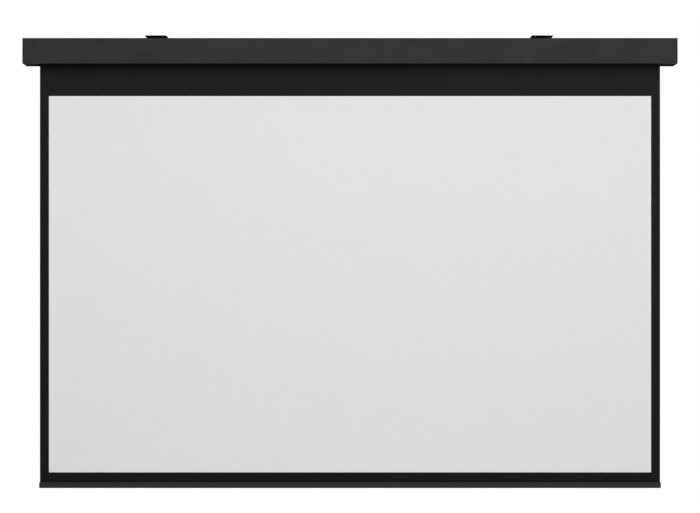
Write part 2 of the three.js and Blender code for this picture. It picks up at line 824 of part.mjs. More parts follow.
function hanger() {
  const half = hangerWidth / 2;
  const corner = hangerCorner;
  const angle = toSolid(runAlongX(hangerProfile(), -half - overrun, half + overrun));
  const plan = roundedOutline(-half, half, hangerFront, hangerBack + corner + overrun, corner);
  const rear = roundedOutline(-half, half, -hangerDrop, hangerTop + corner + overrun, corner);
  const trimmed = angle
    .intersect(toSolid(runAlongZ(plan, -hangerDrop - overrun * 2, hangerTop + overrun)))
    .intersect(toSolid(runAlongY(rear, hangerFront - overrun * 2, hangerBack + overrun)));
  const cupTop = hangerRise + hangerThickness / 2;
  const flare = (cupMouthRadius - cupFloorRadius) / (cupTop - seatGap);
  const hollowBase = seatGap + hangerThickness;
  const hollowTop = hangerTop + overrun;
  const hollowFloor = cupFloorRadius - hangerThickness;
  const hollow = cupCone(
    hollowFloor + flare * (hollowBase - seatGap),
    hollowFloor + flare * (hollowTop - seatGap),
    hollowBase,
    hollowTop,
  );
  const slots = [-1, 1].flatMap((way) => {
    const x = way * hangerSlotSpacing / 2;
    const ceiling = slotOutline(x, hangerFront + ceilingSlotInset);
    const wall = slotOutline(x, wallSlotInset - hangerDrop);
    return [
      runAlongZ(ceiling, hangerRise - overrun, hangerTop + overrun),
      runAlongY(wall, hangerBack - hangerThickness - overrun, hangerBack + overrun),
    ];
  });
  const blank = trimmed.add(toSolid(cupCone(cupFloorRadius, cupMouthRadius, seatGap, cupTop)));
  const bolt = rodAlongZ(boltRadius + slipGap, 0, 0, -overrun, hangerTop, smallSides);
  return toGeometry(cut(blank, [hollow, bolt, ...slots]));
}

function hangerBolt() {
  const seat = seatGap + hangerThickness + slipGap;
  const tip = -(trackLip + seatGap + nutHeight);
  const across = boltHeadAcross / 2 / Math.cos(Math.PI / hexSides);
  return toGeometry(join([
    rodAlongZ(across, 0, 0, seat, seat + boltHeadHeight, hexSides),
    rodAlongZ(boltRadius, 0, 0, tip, seat + boltHeadHeight / 2, smallSides),
  ]));
}

function trackNut() {
  const top = -(trackLip + seatGap);
  const half = trackRoom / 2 - seatGap;
  const nut = block(-nutLength / 2, nutLength / 2, -half, half, top - nutHeight, top);
  const hole = rodAlongZ(boltRadius + slipGap, 0, 0, top - nutHeight - overrun, top + overrun, smallSides);
  return toGeometry(cut(toSolid(nut), [hole]));
}

// Lead from the motor head to its connector, bent once through a quarter turn
function motorLead() {
  const startX = -(headInner + leadSetback);
  const startY = headRadius + leadBossReach + seatGap;
  const bendY = connectorY - leadBend;
  const bendStart = new THREE.Vector3(startX, bendY, grommetZ);
  const straight = new THREE.LineCurve3(new THREE.Vector3(startX, startY, grommetZ), bendStart);
  const bend = new THREE.QuadraticBezierCurve3(
    bendStart,
    new THREE.Vector3(startX, connectorY, grommetZ),
    new THREE.Vector3(startX - leadBend, connectorY, grommetZ),
  );
  const path = new THREE.CurvePath();
  path.add(straight);
  path.add(bend);
  const section = new THREE.Shape(circleOutline(leadRadius, smallSides / 2));
  return new THREE.ExtrudeGeometry(section, { steps: smallSides, extrudePath: path, bevelEnabled: false });
}

function leadConnector() {
  const start = -(headInner + leadSetback) - leadBend - seatGap;
  const half = halfDepth - caseWall - seatGap - connectorY;
  const low = grommetZ - connectorHeight / 2;
  const high = low + connectorHeight;
  return block(start - connectorLength, start, connectorY - half, connectorY + half, low, high);
}

// Rubber grommet in the left end cap, set into a recess so that nothing stands proud
function cableGrommet() {
  const outer = halfCase - seatGap;
  const recess = halfCase - grommetRecess + seatGap / 2;
  const inner = halfCase - capPlate - seatGap / 2;
  const ring = join([
    runAlongX(ringOutline(grommetFlange, grommetBore, midSides), -outer, -recess),
    runAlongX(ringOutline(grommetNeck, grommetBore, midSides), -outer, -inner),
    runAlongX(ringOutline(grommetFlange, grommetBore, midSides), -inner, grommetRecess - inner),
  ]);
  return toGeometry(ring);
}

// Assembly
const group = new THREE.Group();

function place(parent, name, geometry, material, x = 0, y = 0, z = 0, turn = 0) {
  const mesh = new THREE.Mesh(geometry, material);
  mesh.name = name;
  mesh.position.set(x, y, z);
  mesh.rotation.z = turn;
  parent.add(mesh);
}

function section(parent, x, y, z) {
  const inner = new THREE.Group();
  inner.position.set(x, y, z);
  parent.add(inner);
  return inner;
}

// Fixed pieces of the case
place(group, 'case_body', caseBody(), materials.casePaint);
place(group, 'end_cap_left', endCapLeft(), materials.capPlastic);
place(group, 'end_cap_right', toGeometry(endCap(1)), materials.capPlastic);
for (const [name, side, turn] of [['left', -1, 0], ['right', 1, Math.PI]]) {
  ports.forEach(([y, z], i) => {
    const x = side * (halfCase - seatGap);
    place(group, `end_screw_${name}_${i + 1}`, screw(screwLength, true), materials.zinc, x, y, z, turn);
  });
  bossPlaces.forEach(([y, z], i) => {
    const x = side * (bracketInner - slipGap - screwHeadHeight);
    const geometry = screw(plateScrewLength, false);
    place(group, `bracket_screw_${name}_${i + 1}`, geometry, materials.zinc, x, y, z, Math.PI - turn);
  });
}
place(group, 'motor_bracket', motorBracket(), materials.zinc);
place(group, 'idler_bracket', idlerBracket(), materials.zinc);
place(group, 'idler_bush', idlerBush(), materials.nylon, 0, 0, rollerZ);

// Motor, its adjusters and its lead
place(group, 'motor_head', motorHead(), materials.motorPlastic);
place(group, 'motor_tube', motorTube(), materials.motorSteel);
place(group, 'motor_clip', motorClip(), materials.zinc);
const adjusterZ = rollerZ - headFlatDrop - adjusterProud;
const adjusterY = adjusterSpacing / 2;
place(group, 'limit_adjuster_up', adjuster(), materials.adjusterWhite, adjusterX, -adjusterY, adjusterZ);
place(group, 'limit_adjuster_down', adjuster(), materials.adjusterYellow, adjusterX, adjusterY, adjusterZ);
place(group, 'motor_lead', motorLead(), materials.rubber);
place(group, 'lead_connector', leadConnector(), materials.nylon);
place(group, 'cable_grommet', cableGrommet(), materials.rubber, 0, connectorY, grommetZ);

// Roller and everything that turns with it
const roller = section(group, 0, 0, rollerZ);
place(roller, 'roller_tube', rollerTube(), materials.rawAluminium);
place(roller, 'fabric_roll', fabricRoll(), materials.blackFabric);
place(roller, 'fabric_spline', fabricSpline(), materials.nylon);
place(roller, 'limit_crown', limitCrown(), materials.nylon);
place(roller, 'drive_wheel', driveWheel(), materials.motorPlastic);
place(roller, 'output_shaft', outputShaft(), materials.zinc);
place(roller, 'idler_plug', idlerPlug(), materials.nylon);
place(roller, 'idler_pin', idlerPin(), materials.zinc);

// Hanging fabric
place(group, 'screen_sheet', screenSheet(), materials.blackFabric);
place(group, 'viewing_surface', viewingSurface(), materials.whiteCoat);

// Weight bar
const bar = section(group, 0, sheetY, barTop);
place(bar, 'weight_bar', weightBar(), materials.barPaint);
place(bar, 'hem_rod', hemRod(), materials.nylon);
place(bar, 'weight_rod', weightRod(), materials.zinc);
place(bar, 'bar_cap_left', barCap(-1), materials.capPlastic);
place(bar, 'bar_cap_right', barCap(1), materials.capPlastic);

// Hangers
const hangerPlaces = [
  ['left', hangerSetbackLeft - halfCase],
  ['right', halfCase - hangerSetbackRight],
];
for (const [name, x] of hangerPlaces) {
  const spot = section(group, x, trackY, 0);
  place(spot, `hanger_${name}`, hanger(), materials.blackSteel);
  place(spot, `hanger_bolt_${name}`, hangerBolt(), materials.zinc);
  place(spot, `track_nut_${name}`, trackNut(), materials.zinc);
}

export default group;
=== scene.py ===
# Motorized projection screen: how each piece looks, in metres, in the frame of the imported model.
# The sections follow the screen as it is put together, from the case to the hangers.

from math import cos, pi, radians, sin, tan

import bmesh
import bpy
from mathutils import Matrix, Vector


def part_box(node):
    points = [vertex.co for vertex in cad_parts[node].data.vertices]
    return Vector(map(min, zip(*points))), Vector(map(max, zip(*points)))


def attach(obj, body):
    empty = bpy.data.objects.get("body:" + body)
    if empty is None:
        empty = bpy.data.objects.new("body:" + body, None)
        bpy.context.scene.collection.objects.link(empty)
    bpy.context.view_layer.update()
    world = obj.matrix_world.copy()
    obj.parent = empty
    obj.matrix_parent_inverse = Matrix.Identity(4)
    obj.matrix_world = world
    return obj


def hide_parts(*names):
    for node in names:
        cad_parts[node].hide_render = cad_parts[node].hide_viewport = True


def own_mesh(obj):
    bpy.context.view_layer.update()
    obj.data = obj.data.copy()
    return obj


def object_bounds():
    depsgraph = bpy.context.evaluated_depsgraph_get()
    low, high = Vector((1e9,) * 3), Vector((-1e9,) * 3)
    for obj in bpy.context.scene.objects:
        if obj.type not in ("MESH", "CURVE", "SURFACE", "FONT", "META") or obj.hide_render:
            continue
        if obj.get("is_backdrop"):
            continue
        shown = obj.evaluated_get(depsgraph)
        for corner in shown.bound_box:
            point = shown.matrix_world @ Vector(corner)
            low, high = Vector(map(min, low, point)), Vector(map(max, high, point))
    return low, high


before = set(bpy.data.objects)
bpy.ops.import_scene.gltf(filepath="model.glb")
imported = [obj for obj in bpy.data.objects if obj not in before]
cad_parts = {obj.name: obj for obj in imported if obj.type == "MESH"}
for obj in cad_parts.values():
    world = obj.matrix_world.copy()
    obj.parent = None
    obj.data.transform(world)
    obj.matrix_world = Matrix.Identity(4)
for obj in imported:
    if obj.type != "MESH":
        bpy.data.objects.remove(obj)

cad_low, cad_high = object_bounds()


# Viewpoint of the photograph: straight on, about five and a half metres in front of the case,
# level with the middle of the lowered screen. The frame is shifted, so upright lines stay upright.
IMAGE_WIDTH, IMAGE_HEIGHT = 700, 513
HORIZON_ROW = 262.1
EYE = (0.0, -5.514, -0.7355)
LENS_MM = 85.78
SENSOR_MM = 36.0

camera_data = bpy.data.cameras.new("viewpoint")
camera_data.lens = LENS_MM
camera_data.sensor_width = SENSOR_MM
camera_data.shift_y = (HORIZON_ROW - IMAGE_HEIGHT / 2) / IMAGE_WIDTH
camera = bpy.data.objects.new("viewpoint", camera_data)
camera.location = EYE
camera.rotation_euler = (pi / 2, 0, 0)
bpy.context.scene.collection.objects.link(camera)
bpy.context.scene.camera = camera
bpy.context.scene.view_settings.view_transform = "Standard"


# Studio: a pale floor under the hanging screen that fades out at its rim, and a white backdrop all
# round. A wide soft lamp hangs in front of the screen, above its case, a small one stands right of
# the camera, and one lights the back.
FLOOR_DROP = 1.0
FLOOR_HALF = (4.0, 2.95)
FLOOR_MIDDLE_Y = -0.55
FLOOR_FADE_START = 0.6
FLOOR_COLOR = (0.85, 0.85, 0.845, 1)
FLOOR_ROUGHNESS = 0.7
FLOOR_SPECULAR = 0.2
BACKDROP_COLOR = (1, 1, 1, 1)
BACKDROP_STRENGTH = 1.0
ROOM_STRENGTH = 0.3
LAMP_AIM = (0.0, 0.0, -0.75)
# Name, place, width and height, and watts of each lamp.
LAMPS = [
    ("key_lamp", (0.13, -3.2, 0.84), (7.0, 2.1), 124),
    ("fill_lamp", (1.5, -6.2, -0.5), (1.0, 1.0), 48),
    ("back_lamp", (-1.2, 4.2, 2.2), (3.0, 2.0), 120),
]


def add_node(tree, kind, settings=None, inputs=None):
    """A shader node. Each input is a value, or the output of another node that is linked to it."""
    node = tree.nodes.new("ShaderNode" + kind)
    for name, value in (settings or {}).items():
        setattr(node, name, value)
    for name, value in (inputs or {}).items():
        if isinstance(value, bpy.types.NodeSocket):
            tree.links.new(value, node.inputs[name])
        else:
            node.inputs[name].default_value = value
    return node


def empty_material(name):
    """A material with no nodes but its output."""
    material = bpy.data.materials.new(name)
    material.use_nodes = True
    material.node_tree.nodes.clear()
    return material, material.node_tree, add_node(material.node_tree, "OutputMaterial")


def floor_material():
    """Pale floor paint that turns clear towards the floor's rim, and all over when seen from below."""
    material, tree, result = empty_material("studio_floor")
    place = add_node(tree, "TexCoord").outputs["Object"]
    middle = (0, -FLOOR_MIDDLE_Y, 0)
    inward = add_node(tree, "VectorMath", {"operation": "ADD"}, {0: place, 1: middle})
    shares = (1 / FLOOR_HALF[0], 1 / FLOOR_HALF[1], 0)
    share = add_node(tree, "VectorMath", {"operation": "MULTIPLY"}, {0: inward.outputs[0], 1: shares})
    reach = add_node(tree, "VectorMath", {"operation": "LENGTH"}, {0: share.outputs[0]})
    fade = add_node(tree, "MapRange", {"interpolation_type": "SMOOTHSTEP"}, {
        "Value": reach.outputs["Value"], "From Min": FLOOR_FADE_START, "From Max": 1.0,
        "To Min": 0.0, "To Max": 1.0,
    })
    below = add_node(tree, "NewGeometry").outputs["Backfacing"]
    clear = add_node(tree, "Math", {"operation": "MAXIMUM"}, {0: fade.outputs["Result"], 1: below})
    paint = add_node(tree, "BsdfPrincipled", None, {
        "Base Color": FLOOR_COLOR, "Roughness": FLOOR_ROUGHNESS, "Specular IOR Level": FLOOR_SPECULAR,
    })
    gone = add_node(tree, "BsdfTransparent")
    mixed = add_node(tree, "MixShader", None, {
        0: clear.outputs[0], 1: paint.outputs[0], 2: gone.outputs[0],
    })
    tree.links.new(mixed.outputs[0], result.inputs["Surface"])
    return material


floor_z = cad_low.z - FLOOR_DROP
floor_mesh = bpy.data.meshes.new("studio_floor")
floor_mesh.from_pydata(
    [
        (x * FLOOR_HALF[0], FLOOR_MIDDLE_Y + y * FLOOR_HALF[1], floor_z)
        for x, y in ((-1, -1), (1, -1), (1, 1), (-1, 1))
    ],
    [],
    [(0, 1, 2, 3)],
)
floor_mesh.materials.append(floor_material())
studio_floor = bpy.data.objects.new("studio_floor", floor_mesh)
bpy.context.scene.collection.objects.link(studio_floor)
studio_floor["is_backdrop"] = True

room = bpy.data.worlds.new("studio_room")
room.use_nodes = True
room.node_tree.nodes.clear()
light_path = add_node(room.node_tree, "LightPath").outputs
seen = light_path["Is Camera Ray"]
for kind in ("Is Glossy Ray", "Is Transmission Ray"):
    seen = add_node(
        room.node_tree, "Math", {"operation": "MAXIMUM"}, {0: seen, 1: light_path[kind]}
    ).outputs[0]
backdrop = add_node(room.node_tree, "Background", None, {
    "Color": BACKDROP_COLOR, "Strength": BACKDROP_STRENGTH,
})
soft_light = add_node(room.node_tree, "Background", None, {
    "Color": BACKDROP_COLOR, "Strength": ROOM_STRENGTH,
})
room_mix = add_node(room.node_tree, "MixShader", None, {
    0: seen, 1: soft_light.outputs[0], 2: backdrop.outputs[0],
})
add_node(room.node_tree, "OutputWorld", None, {"Surface": room_mix.outputs[0]})
bpy.context.scene.world = room

for name, place, (width, height), watts in LAMPS:
    lamp_data = bpy.data.lights.new(name, "AREA")
    lamp_data.shape = "RECTANGLE"
    lamp_data.size = width
    lamp_data.size_y = height
    lamp_data.energy = watts
    lamp = bpy.data.objects.new(name, lamp_data)
    lamp.location = place
    lamp.rotation_euler = (Vector(LAMP_AIM) - Vector(place)).to_track_quat("-Z", "Y").to_euler()
    lamp.visible_camera = False
    bpy.context.scene.collection.objects.link(lamp)


# Case: one square aluminium extrusion with a hanger track in its top and lips along its mouth.
# It is powder coated satin black, which leaves a fine orange peel and is rubbed at its edges.
SAME_POINT = 0.000002
FLAT = radians(0.5)
SHARP = radians(40)
ROUNDING_STEPS = 2
CASE_ROUNDING = 0.00025
CASE_BLACK = (0.008, 0.008, 0.0081, 1)
RUBBED_BLACK = (0.04, 0.04, 0.041, 1)
ROOM_DUST = (0.1, 0.097, 0.092, 1)
CASE_ROUGHNESS = 0.59
CASE_SPECULAR = 0.185


def clean_solid(node):
    """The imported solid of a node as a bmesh, with its flat faces whole again."""
    solid = bmesh.new()
    solid.from_mesh(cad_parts[node].data)
    bmesh.ops.remove_doubles(solid, verts=solid.verts, dist=SAME_POINT)
    bmesh.ops.dissolve_limit(solid, angle_limit=FLAT, verts=solid.verts, edges=solid.edges)
    return solid


def new_piece(name, solid):
    """A mesh object made from a bmesh, which is used up."""
    mesh = bpy.data.meshes.new(name)
    solid.to_mesh(mesh)
    solid.free()
    piece = bpy.data.objects.new(name, mesh)
    bpy.context.scene.collection.objects.link(piece)
    return piece


def apply_modifiers(piece):
    """Turns a piece's modifiers into its own mesh."""
    depsgraph = bpy.context.evaluated_depsgraph_get()
    done = bpy.data.meshes.new_from_object(piece.evaluated_get(depsgraph), depsgraph=depsgraph)
    piece.modifiers.clear()
    piece.data = done


def round_edges(piece, rounding, limit="ANGLE"):
    """Rounds off the sharp edges of a piece, or those with a bevel weight, and shades its curved
    faces smooth. Where two edges lie so close that their roundings meet, the points become one."""
    bevel = piece.modifiers.new("edges", "BEVEL")
    bevel.width = rounding
    bevel.segments = ROUNDING_STEPS
    bevel.limit_method = limit
    bevel.angle_limit = SHARP
    apply_modifiers(piece)
    solid = bmesh.new()
    solid.from_mesh(piece.data)
    bmesh.ops.remove_doubles(solid, verts=solid.verts, dist=SAME_POINT)
    solid.to_mesh(piece.data)
    solid.free()
    smooth(piece)


def smooth(piece):
    """Smooth shading up to the sharp edges, with the large faces kept flat."""
    piece.data.shade_smooth()
    piece.data.set_sharp_from_angle(angle=SHARP)
    weighting = piece.modifiers.new("flat faces", "WEIGHTED_NORMAL")
    weighting.keep_sharp = True
    apply_modifiers(piece)


def stand_for(piece, node, body, material):
    """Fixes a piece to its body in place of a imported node, with its finish."""
    piece.data.materials.clear()
    piece.data.materials.append(material)
    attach(piece, body)
    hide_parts(node)


def rounded_copy(name, node, body, material, rounding):
    """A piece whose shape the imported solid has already, with its edges rounded."""
    piece = new_piece(name, clean_solid(node))
    round_edges(piece, rounding)
    stand_for(piece, node, body, material)


def effect_group(name, inputs, outputs):
    """A shader node group with named inputs and outputs, and its two ends."""
    group = bpy.data.node_groups.new(name, "ShaderNodeTree")
    for label, kind, start in inputs:
        socket = group.interface.new_socket(label, in_out="INPUT", socket_type="NodeSocket" + kind)
        socket.default_value = start
    for label, kind in outputs:
        group.interface.new_socket(label, in_out="OUTPUT", socket_type="NodeSocket" + kind)
    return group, group.nodes.new("NodeGroupInput").outputs, group.nodes.new("NodeGroupOutput").inputs


def noise(tree, place, per_metre, detail=2.0):
    """Fractal noise from 0 to 1, with about this many features in a metre."""
    settings = {"noise_dimensions": "3D"}
    inputs = {"Vector": place, "Scale": per_metre, "Detail": detail}
    return add_node(tree, "TexNoise", settings, inputs).outputs[0]


def calculate(tree, operation, first, second=0.0):
    """The result of one operation on two of the shader's values."""
    return add_node(tree, "Math", {"operation": operation}, {0: first, 1: second}).outputs[0]


def spread(tree, value, low, high, start=0.3, end=0.7):
    """A value from start to end, spread over low to high and held inside them. Most noise lies
    between the start and end that are given here."""
    return add_node(tree, "MapRange", None, {
        "Value": value, "From Min": start, "From Max": end, "To Min": low, "To Max": high,
    }).outputs["Result"]


def shade(tree, color, value):
    """A colour made lighter or darker by a value near 1."""
    grey = add_node(tree, "CombineColor", None, {0: value, 1: value, 2: value}).outputs[0]
    mixed = add_node(tree, "Mix", {"data_type": "RGBA", "blend_type": "MULTIPLY"}, {
        "Factor": 1.0, 6: color, 7: grey,
    })
    return mixed.outputs[2]


def blend_colors(tree, factor, first, second):
    """The first colour where the factor is 0, the second where it is 1, and a blend between."""
    mixed = add_node(tree, "Mix", {"data_type": "RGBA"}, {"Factor": factor, 6: first, 7: second})
    return mixed.outputs[2]


def edge_wear_group():
    """A mask that is 1 on the rubbed stretches of a piece's outer edges."""
    tree, given, result = effect_group(
        "edge_wear",
        [("Radius", "Float", 0.001), ("Patches per Metre", "Float", 60.0)],
        [("Mask", "Float")],
    )
    rounded = add_node(tree, "Bevel", {"samples": 4}, {"Radius": given["Radius"]}).outputs[0]
    surface = add_node(tree, "NewGeometry").outputs["Normal"]
    alike = add_node(tree, "VectorMath", {"operation": "DOT_PRODUCT"}, {0: rounded, 1: surface})
    edge = spread(tree, alike.outputs["Value"], low=1.0, high=0.0, start=0.8, end=0.98)
    place = add_node(tree, "TexCoord").outputs["Object"]
    patches = noise(tree, place, per_metre=given["Patches per Metre"], detail=4.0)
    patch = spread(tree, patches, low=0.0, high=1.0, start=0.45, end=0.62)
    tree.links.new(calculate(tree, "MULTIPLY", edge, patch), result["Mask"])
    return tree


edge_wear = edge_wear_group()


def powder_coat_group():
    """Powder coat: tone that drifts, orange peel, a paler rub along the edges, and dust on top."""
    tree, given, result = effect_group(
        "powder_coat",
        [
            ("Color", "Color", CASE_BLACK),
            ("Worn Color", "Color", RUBBED_BLACK),
            ("Wear", "Float", 0.4),
            ("Dust", "Float", 0.16),
            ("Roughness", "Float", 0.5),
            ("Peel Height", "Float", 0.00001),
        ],
        [("Color", "Color"), ("Roughness", "Float"), ("Normal", "Vector")],
    )
    place = add_node(tree, "TexCoord").outputs["Object"]
    drift = spread(tree, noise(tree, place, per_metre=2.6), low=0.95, high=1.05)
    speck = spread(tree, noise(tree, place, per_metre=900.0, detail=1.0), low=0.9, high=1.1)
    toned = shade(tree, given["Color"], calculate(tree, "MULTIPLY", drift, speck))
    worn = add_node(tree, "Group", {"node_tree": edge_wear}, {"Radius": 0.0008})
    rub = calculate(tree, "MULTIPLY", worn.outputs["Mask"], given["Wear"])
    rubbed = blend_colors(tree, rub, toned, given["Worn Color"])
    surface = add_node(tree, "NewGeometry").outputs["Normal"]
    rise = add_node(tree, "SeparateXYZ", None, {0: surface}).outputs["Z"]
    upward = spread(tree, rise, low=0.0, high=1.0, start=0.6, end=0.95)
    drifts = spread(tree, noise(tree, place, per_metre=8.0, detail=5.0), low=0.3, high=1.0)
    lying = calculate(tree, "MULTIPLY", upward, drifts)
    settled = calculate(tree, "MULTIPLY", lying, given["Dust"])
    tree.links.new(blend_colors(tree, settled, rubbed, ROOM_DUST), result["Color"])
    patches = spread(tree, noise(tree, place, per_metre=14.0, detail=3.0), low=-0.05, high=0.05)
    uneven = calculate(tree, "ADD", given["Roughness"], patches)
    tree.links.new(calculate(tree, "ADD", uneven, settled), result["Roughness"])
    orange_peel = noise(tree, place, per_metre=420.0)
    peel = add_node(tree, "Bump", None, {
        "Height": orange_peel, "Distance": given["Peel Height"], "Strength": 1.0,
    })
    tree.links.new(peel.outputs["Normal"], result["Normal"])
    return tree


powder_coat = powder_coat_group()


def finished(name, group, given, own):
    """A material of one effect group and a Principled shader. Given are the group's inputs,
    and own are the constants on the shader's sockets."""
    material, tree, result = empty_material(name)
    effect = add_node(tree, "Group", {"node_tree": group}, given)
    shader = add_node(tree, "BsdfPrincipled", None, own)
    for output, socket in (("Color", "Base Color"), ("Roughness", "Roughness"), ("Normal", "Normal")):
        tree.links.new(effect.outputs[output], shader.inputs[socket])
    tree.links.new(shader.outputs[0], result.inputs["Surface"])
    return material


case_coat = finished(
    "case_coat",
    powder_coat,
    {"Color": CASE_BLACK, "Worn Color": RUBBED_BLACK, "Wear": 0.35, "Roughness": CASE_ROUGHNESS},
    {"Specular IOR Level": CASE_SPECULAR},
)
rounded_copy("case_extrusion", "case_body", "case", case_coat, CASE_ROUNDING)


# End caps: black nylon mouldings with a fine spark-eroded grain. They close the ends of the
# extrusion, flush with it, and each one's shelf closes the end of the mouth.
CAP_ROUNDING = 0.0003
CAP_BLACK = (0.021, 0.021, 0.0214, 1)
CAP_SHINE = (0.035, 0.035, 0.036, 1)
CAP_ROUGHNESS = 0.85
CAP_SPECULAR = 0.0
HANDLED_SHARE = 0.5
HANDLED_POLISH = 0.25


def moulded_group():
    """Moulded plastic: a pebbled grain, cloudy tone and edges polished by handling."""
    tree, given, result = effect_group(
        "moulded_grain",
        [
            ("Color", "Color", CAP_BLACK),
            ("Handled Color", "Color", CAP_SHINE),
            ("Roughness", "Float", 0.55),
            ("Grains per Metre", "Float", 1500.0),
            ("Grain Height", "Float", 0.00002),
        ],
        [("Color", "Color"), ("Roughness", "Float"), ("Normal", "Vector")],
    )
    place = add_node(tree, "TexCoord").outputs["Object"]
    cloud = spread(tree, noise(tree, place, per_metre=45.0, detail=3.0), low=0.93, high=1.07)
    worn = add_node(tree, "Group", {"node_tree": edge_wear}, {"Radius": 0.0006, "Patches per Metre": 150.0})
    handled = calculate(tree, "MULTIPLY", worn.outputs["Mask"], HANDLED_SHARE)
    toned = shade(tree, given["Color"], cloud)
    tree.links.new(blend_colors(tree, handled, toned, given["Handled Color"]), result["Color"])
    polish = calculate(tree, "MULTIPLY", handled, HANDLED_POLISH)
    tree.links.new(calculate(tree, "SUBTRACT", given["Roughness"], polish), result["Roughness"])
    cells = add_node(tree, "TexVoronoi", {"feature": "SMOOTH_F1"}, {
        "Vector": place, "Scale": given["Grains per Metre"], "Smoothness": 0.6,
    })
    grain = add_node(tree, "Bump", None, {
        "Height": cells.outputs["Distance"], "Distance": given["Grain Height"], "Strength": 1.0,
    })
    tree.links.new(grain.outputs["Normal"], result["Normal"])
    return tree


moulded_grain = moulded_group()
cap_plastic = finished(
    "cap_plastic",
    moulded_grain,
    {"Color": CAP_BLACK, "Roughness": CAP_ROUGHNESS},
    {"Specular IOR Level": CAP_SPECULAR},
)
for side in ("left", "right"):
    rounded_copy(
        f"end_moulding_{side}", f"end_cap_{side}", "case", cap_plastic, CAP_ROUNDING
    )


# End screws: countersunk steel screws, black zinc plated, with a cross recess. Four of them run
# through each end cap into the screw ports of the extrusion.
SCREW_STEPS = 32
HEAD_HEIGHT = 0.002
HEAD_EDGE = 0.0002
SHANK_RADIUS = 0.0018
SHANK_TIP = 0.0004
THREAD_PITCH = 0.0011
THREAD_DEPTH = 0.0004
RECESS_WIDTH = 0.0009
RECESS_SPAN = 0.0036
RECESS_DEPTH = 0.0011
RECESS_TAPER_SHARE = 0.55
BLACK_ZINC = (0.045, 0.046, 0.05, 1)
BARE_ZINC = (0.3, 0.31, 0.33, 1)


def ring_at(solid, along, radius, steps):
    """A ring of points about the X axis, or the one point on it where the radius is nothing."""
    turns = [2 * pi * i / steps for i in range(steps if radius > 0 else 1)]
    return [solid.verts.new((along, radius * cos(a), radius * sin(a))) for a in turns]


def join_rings(solid, first, second):
    """Faces from one ring to the next, either of which may be a point on the axis."""
    for j in range(max(len(first), len(second))):
        corners = [
            first[j % len(first)], first[(j + 1) % len(first)],
            second[(j + 1) % len(second)], second[j % len(second)],
        ]
        solid.faces.new(list(dict.fromkeys(corners)))


def wind_thread(solid, ring, pitch, depth, turns):
    """Winds a V thread along X, on from a ring of points at its root. Gives the ring at its end."""
    steps = len(ring)
    start, root = ring[0].co.x, ring[0].co.yz.length
    last = steps * turns

    def on_helix(k, radius, ahead):
        turn = 2 * pi * k / steps
        return solid.verts.new((start + pitch * (k / steps + ahead), radius * cos(turn), radius * sin(turn)))

    roots = [ring[0]] + [on_helix(k, root, 0.0) for k in range(1, last + 1)]
    crests = [on_helix(k, root + depth, 0.5) for k in range(last - steps + 1)]
    for k in range(last - steps):
        solid.faces.new((roots[k], roots[k + 1], crests[k + 1], crests[k]))
        solid.faces.new((crests[k], crests[k + 1], roots[k + 1 + steps], roots[k + steps]))
    solid.faces.new((roots[0], crests[0], roots[steps]))
    solid.faces.new((roots[last - steps], crests[-1], roots[last]))
    solid.faces.new((ring[0], ring[1], roots[1]))
    for k in range(1, steps):
        solid.faces.new((ring[k], ring[(k + 1) % steps], roots[k + 1], roots[k]))
    end_ring = ring_at(solid, start + pitch * turns, root, steps)
    solid.verts.remove(end_ring[0])
    end_ring[0] = roots[last]
    lap = roots[last - steps:]
    for k in range(steps - 1):
        solid.faces.new((lap[k], lap[k + 1], end_ring[k + 1], end_ring[k]))
    solid.faces.new((lap[steps - 1], end_ring[0], end_ring[steps - 1]))
    return end_ring


def carve(piece, cutter):
    """Cuts one piece out of another. The cutter is used up."""
    cut = piece.modifiers.new("recess", "BOOLEAN")
    cut.object = cutter
    cut.solver = "EXACT"
    apply_modifiers(piece)
    bpy.data.objects.remove(cutter)


def cross_cutter():
    """A cross that narrows with depth, along X from in front of the head."""
    half, span = RECESS_WIDTH / 2, RECESS_SPAN / 2
    quarter = [(span, -half), (span, half), (half, half)]
    outline = []
    for turn in range(4):
        for y, z in quarter:
            for _ in range(turn):
                y, z = -z, y
            outline.append((y, z))
    solid = bmesh.new()
    mouth = [solid.verts.new((-RECESS_DEPTH, y, z)) for y, z in outline]
    narrow = RECESS_TAPER_SHARE
    base = [solid.verts.new((RECESS_DEPTH, y * narrow, z * narrow)) for y, z in outline]
    solid.faces.new(mouth)
    solid.faces.new(base)
    for i in range(len(outline)):
        solid.faces.new((mouth[i - 1], mouth[i], base[i], base[i - 1]))
    bmesh.ops.recalc_face_normals(solid, faces=solid.faces)
    return new_piece("recess_cutter", solid)


def screw_mesh(name, node, flush):
    """A threaded screw as large as a packed one, along +X with its head at the origin. The head is
    countersunk if it is to lie flush."""
    low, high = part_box(node)
    tip = high.x - low.x
    head_radius = (high.y - low.y) / 2
    root = SHANK_RADIUS - THREAD_DEPTH
    neck = root if flush else head_radius
    thread_start = HEAD_HEIGHT + HEAD_EDGE
    solid = bmesh.new()
    rings = [ring_at(solid, along, radius, SCREW_STEPS) for along, radius in (
        (0, 0),
        (0, head_radius - HEAD_EDGE),
        (HEAD_EDGE, head_radius),
        (HEAD_HEIGHT, neck),
        (thread_start, root),
    )]
    turns = int((tip - SHANK_TIP - thread_start) / THREAD_PITCH)
    tail = [wind_thread(solid, rings[-1], THREAD_PITCH, THREAD_DEPTH, turns)]
    tail.append(ring_at(solid, tip, root - SHANK_TIP, SCREW_STEPS))
    tail.append(ring_at(solid, tip, 0, SCREW_STEPS))
    for part in (rings, tail):
        for first, second in zip(part, part[1:]):
            join_rings(solid, first, second)
    bmesh.ops.recalc_face_normals(solid, faces=solid.faces)
    screw = new_piece(name, solid)
    carve(screw, cross_cutter())
    smooth(screw)
    mesh = screw.data
    bpy.data.objects.remove(screw)
    return mesh


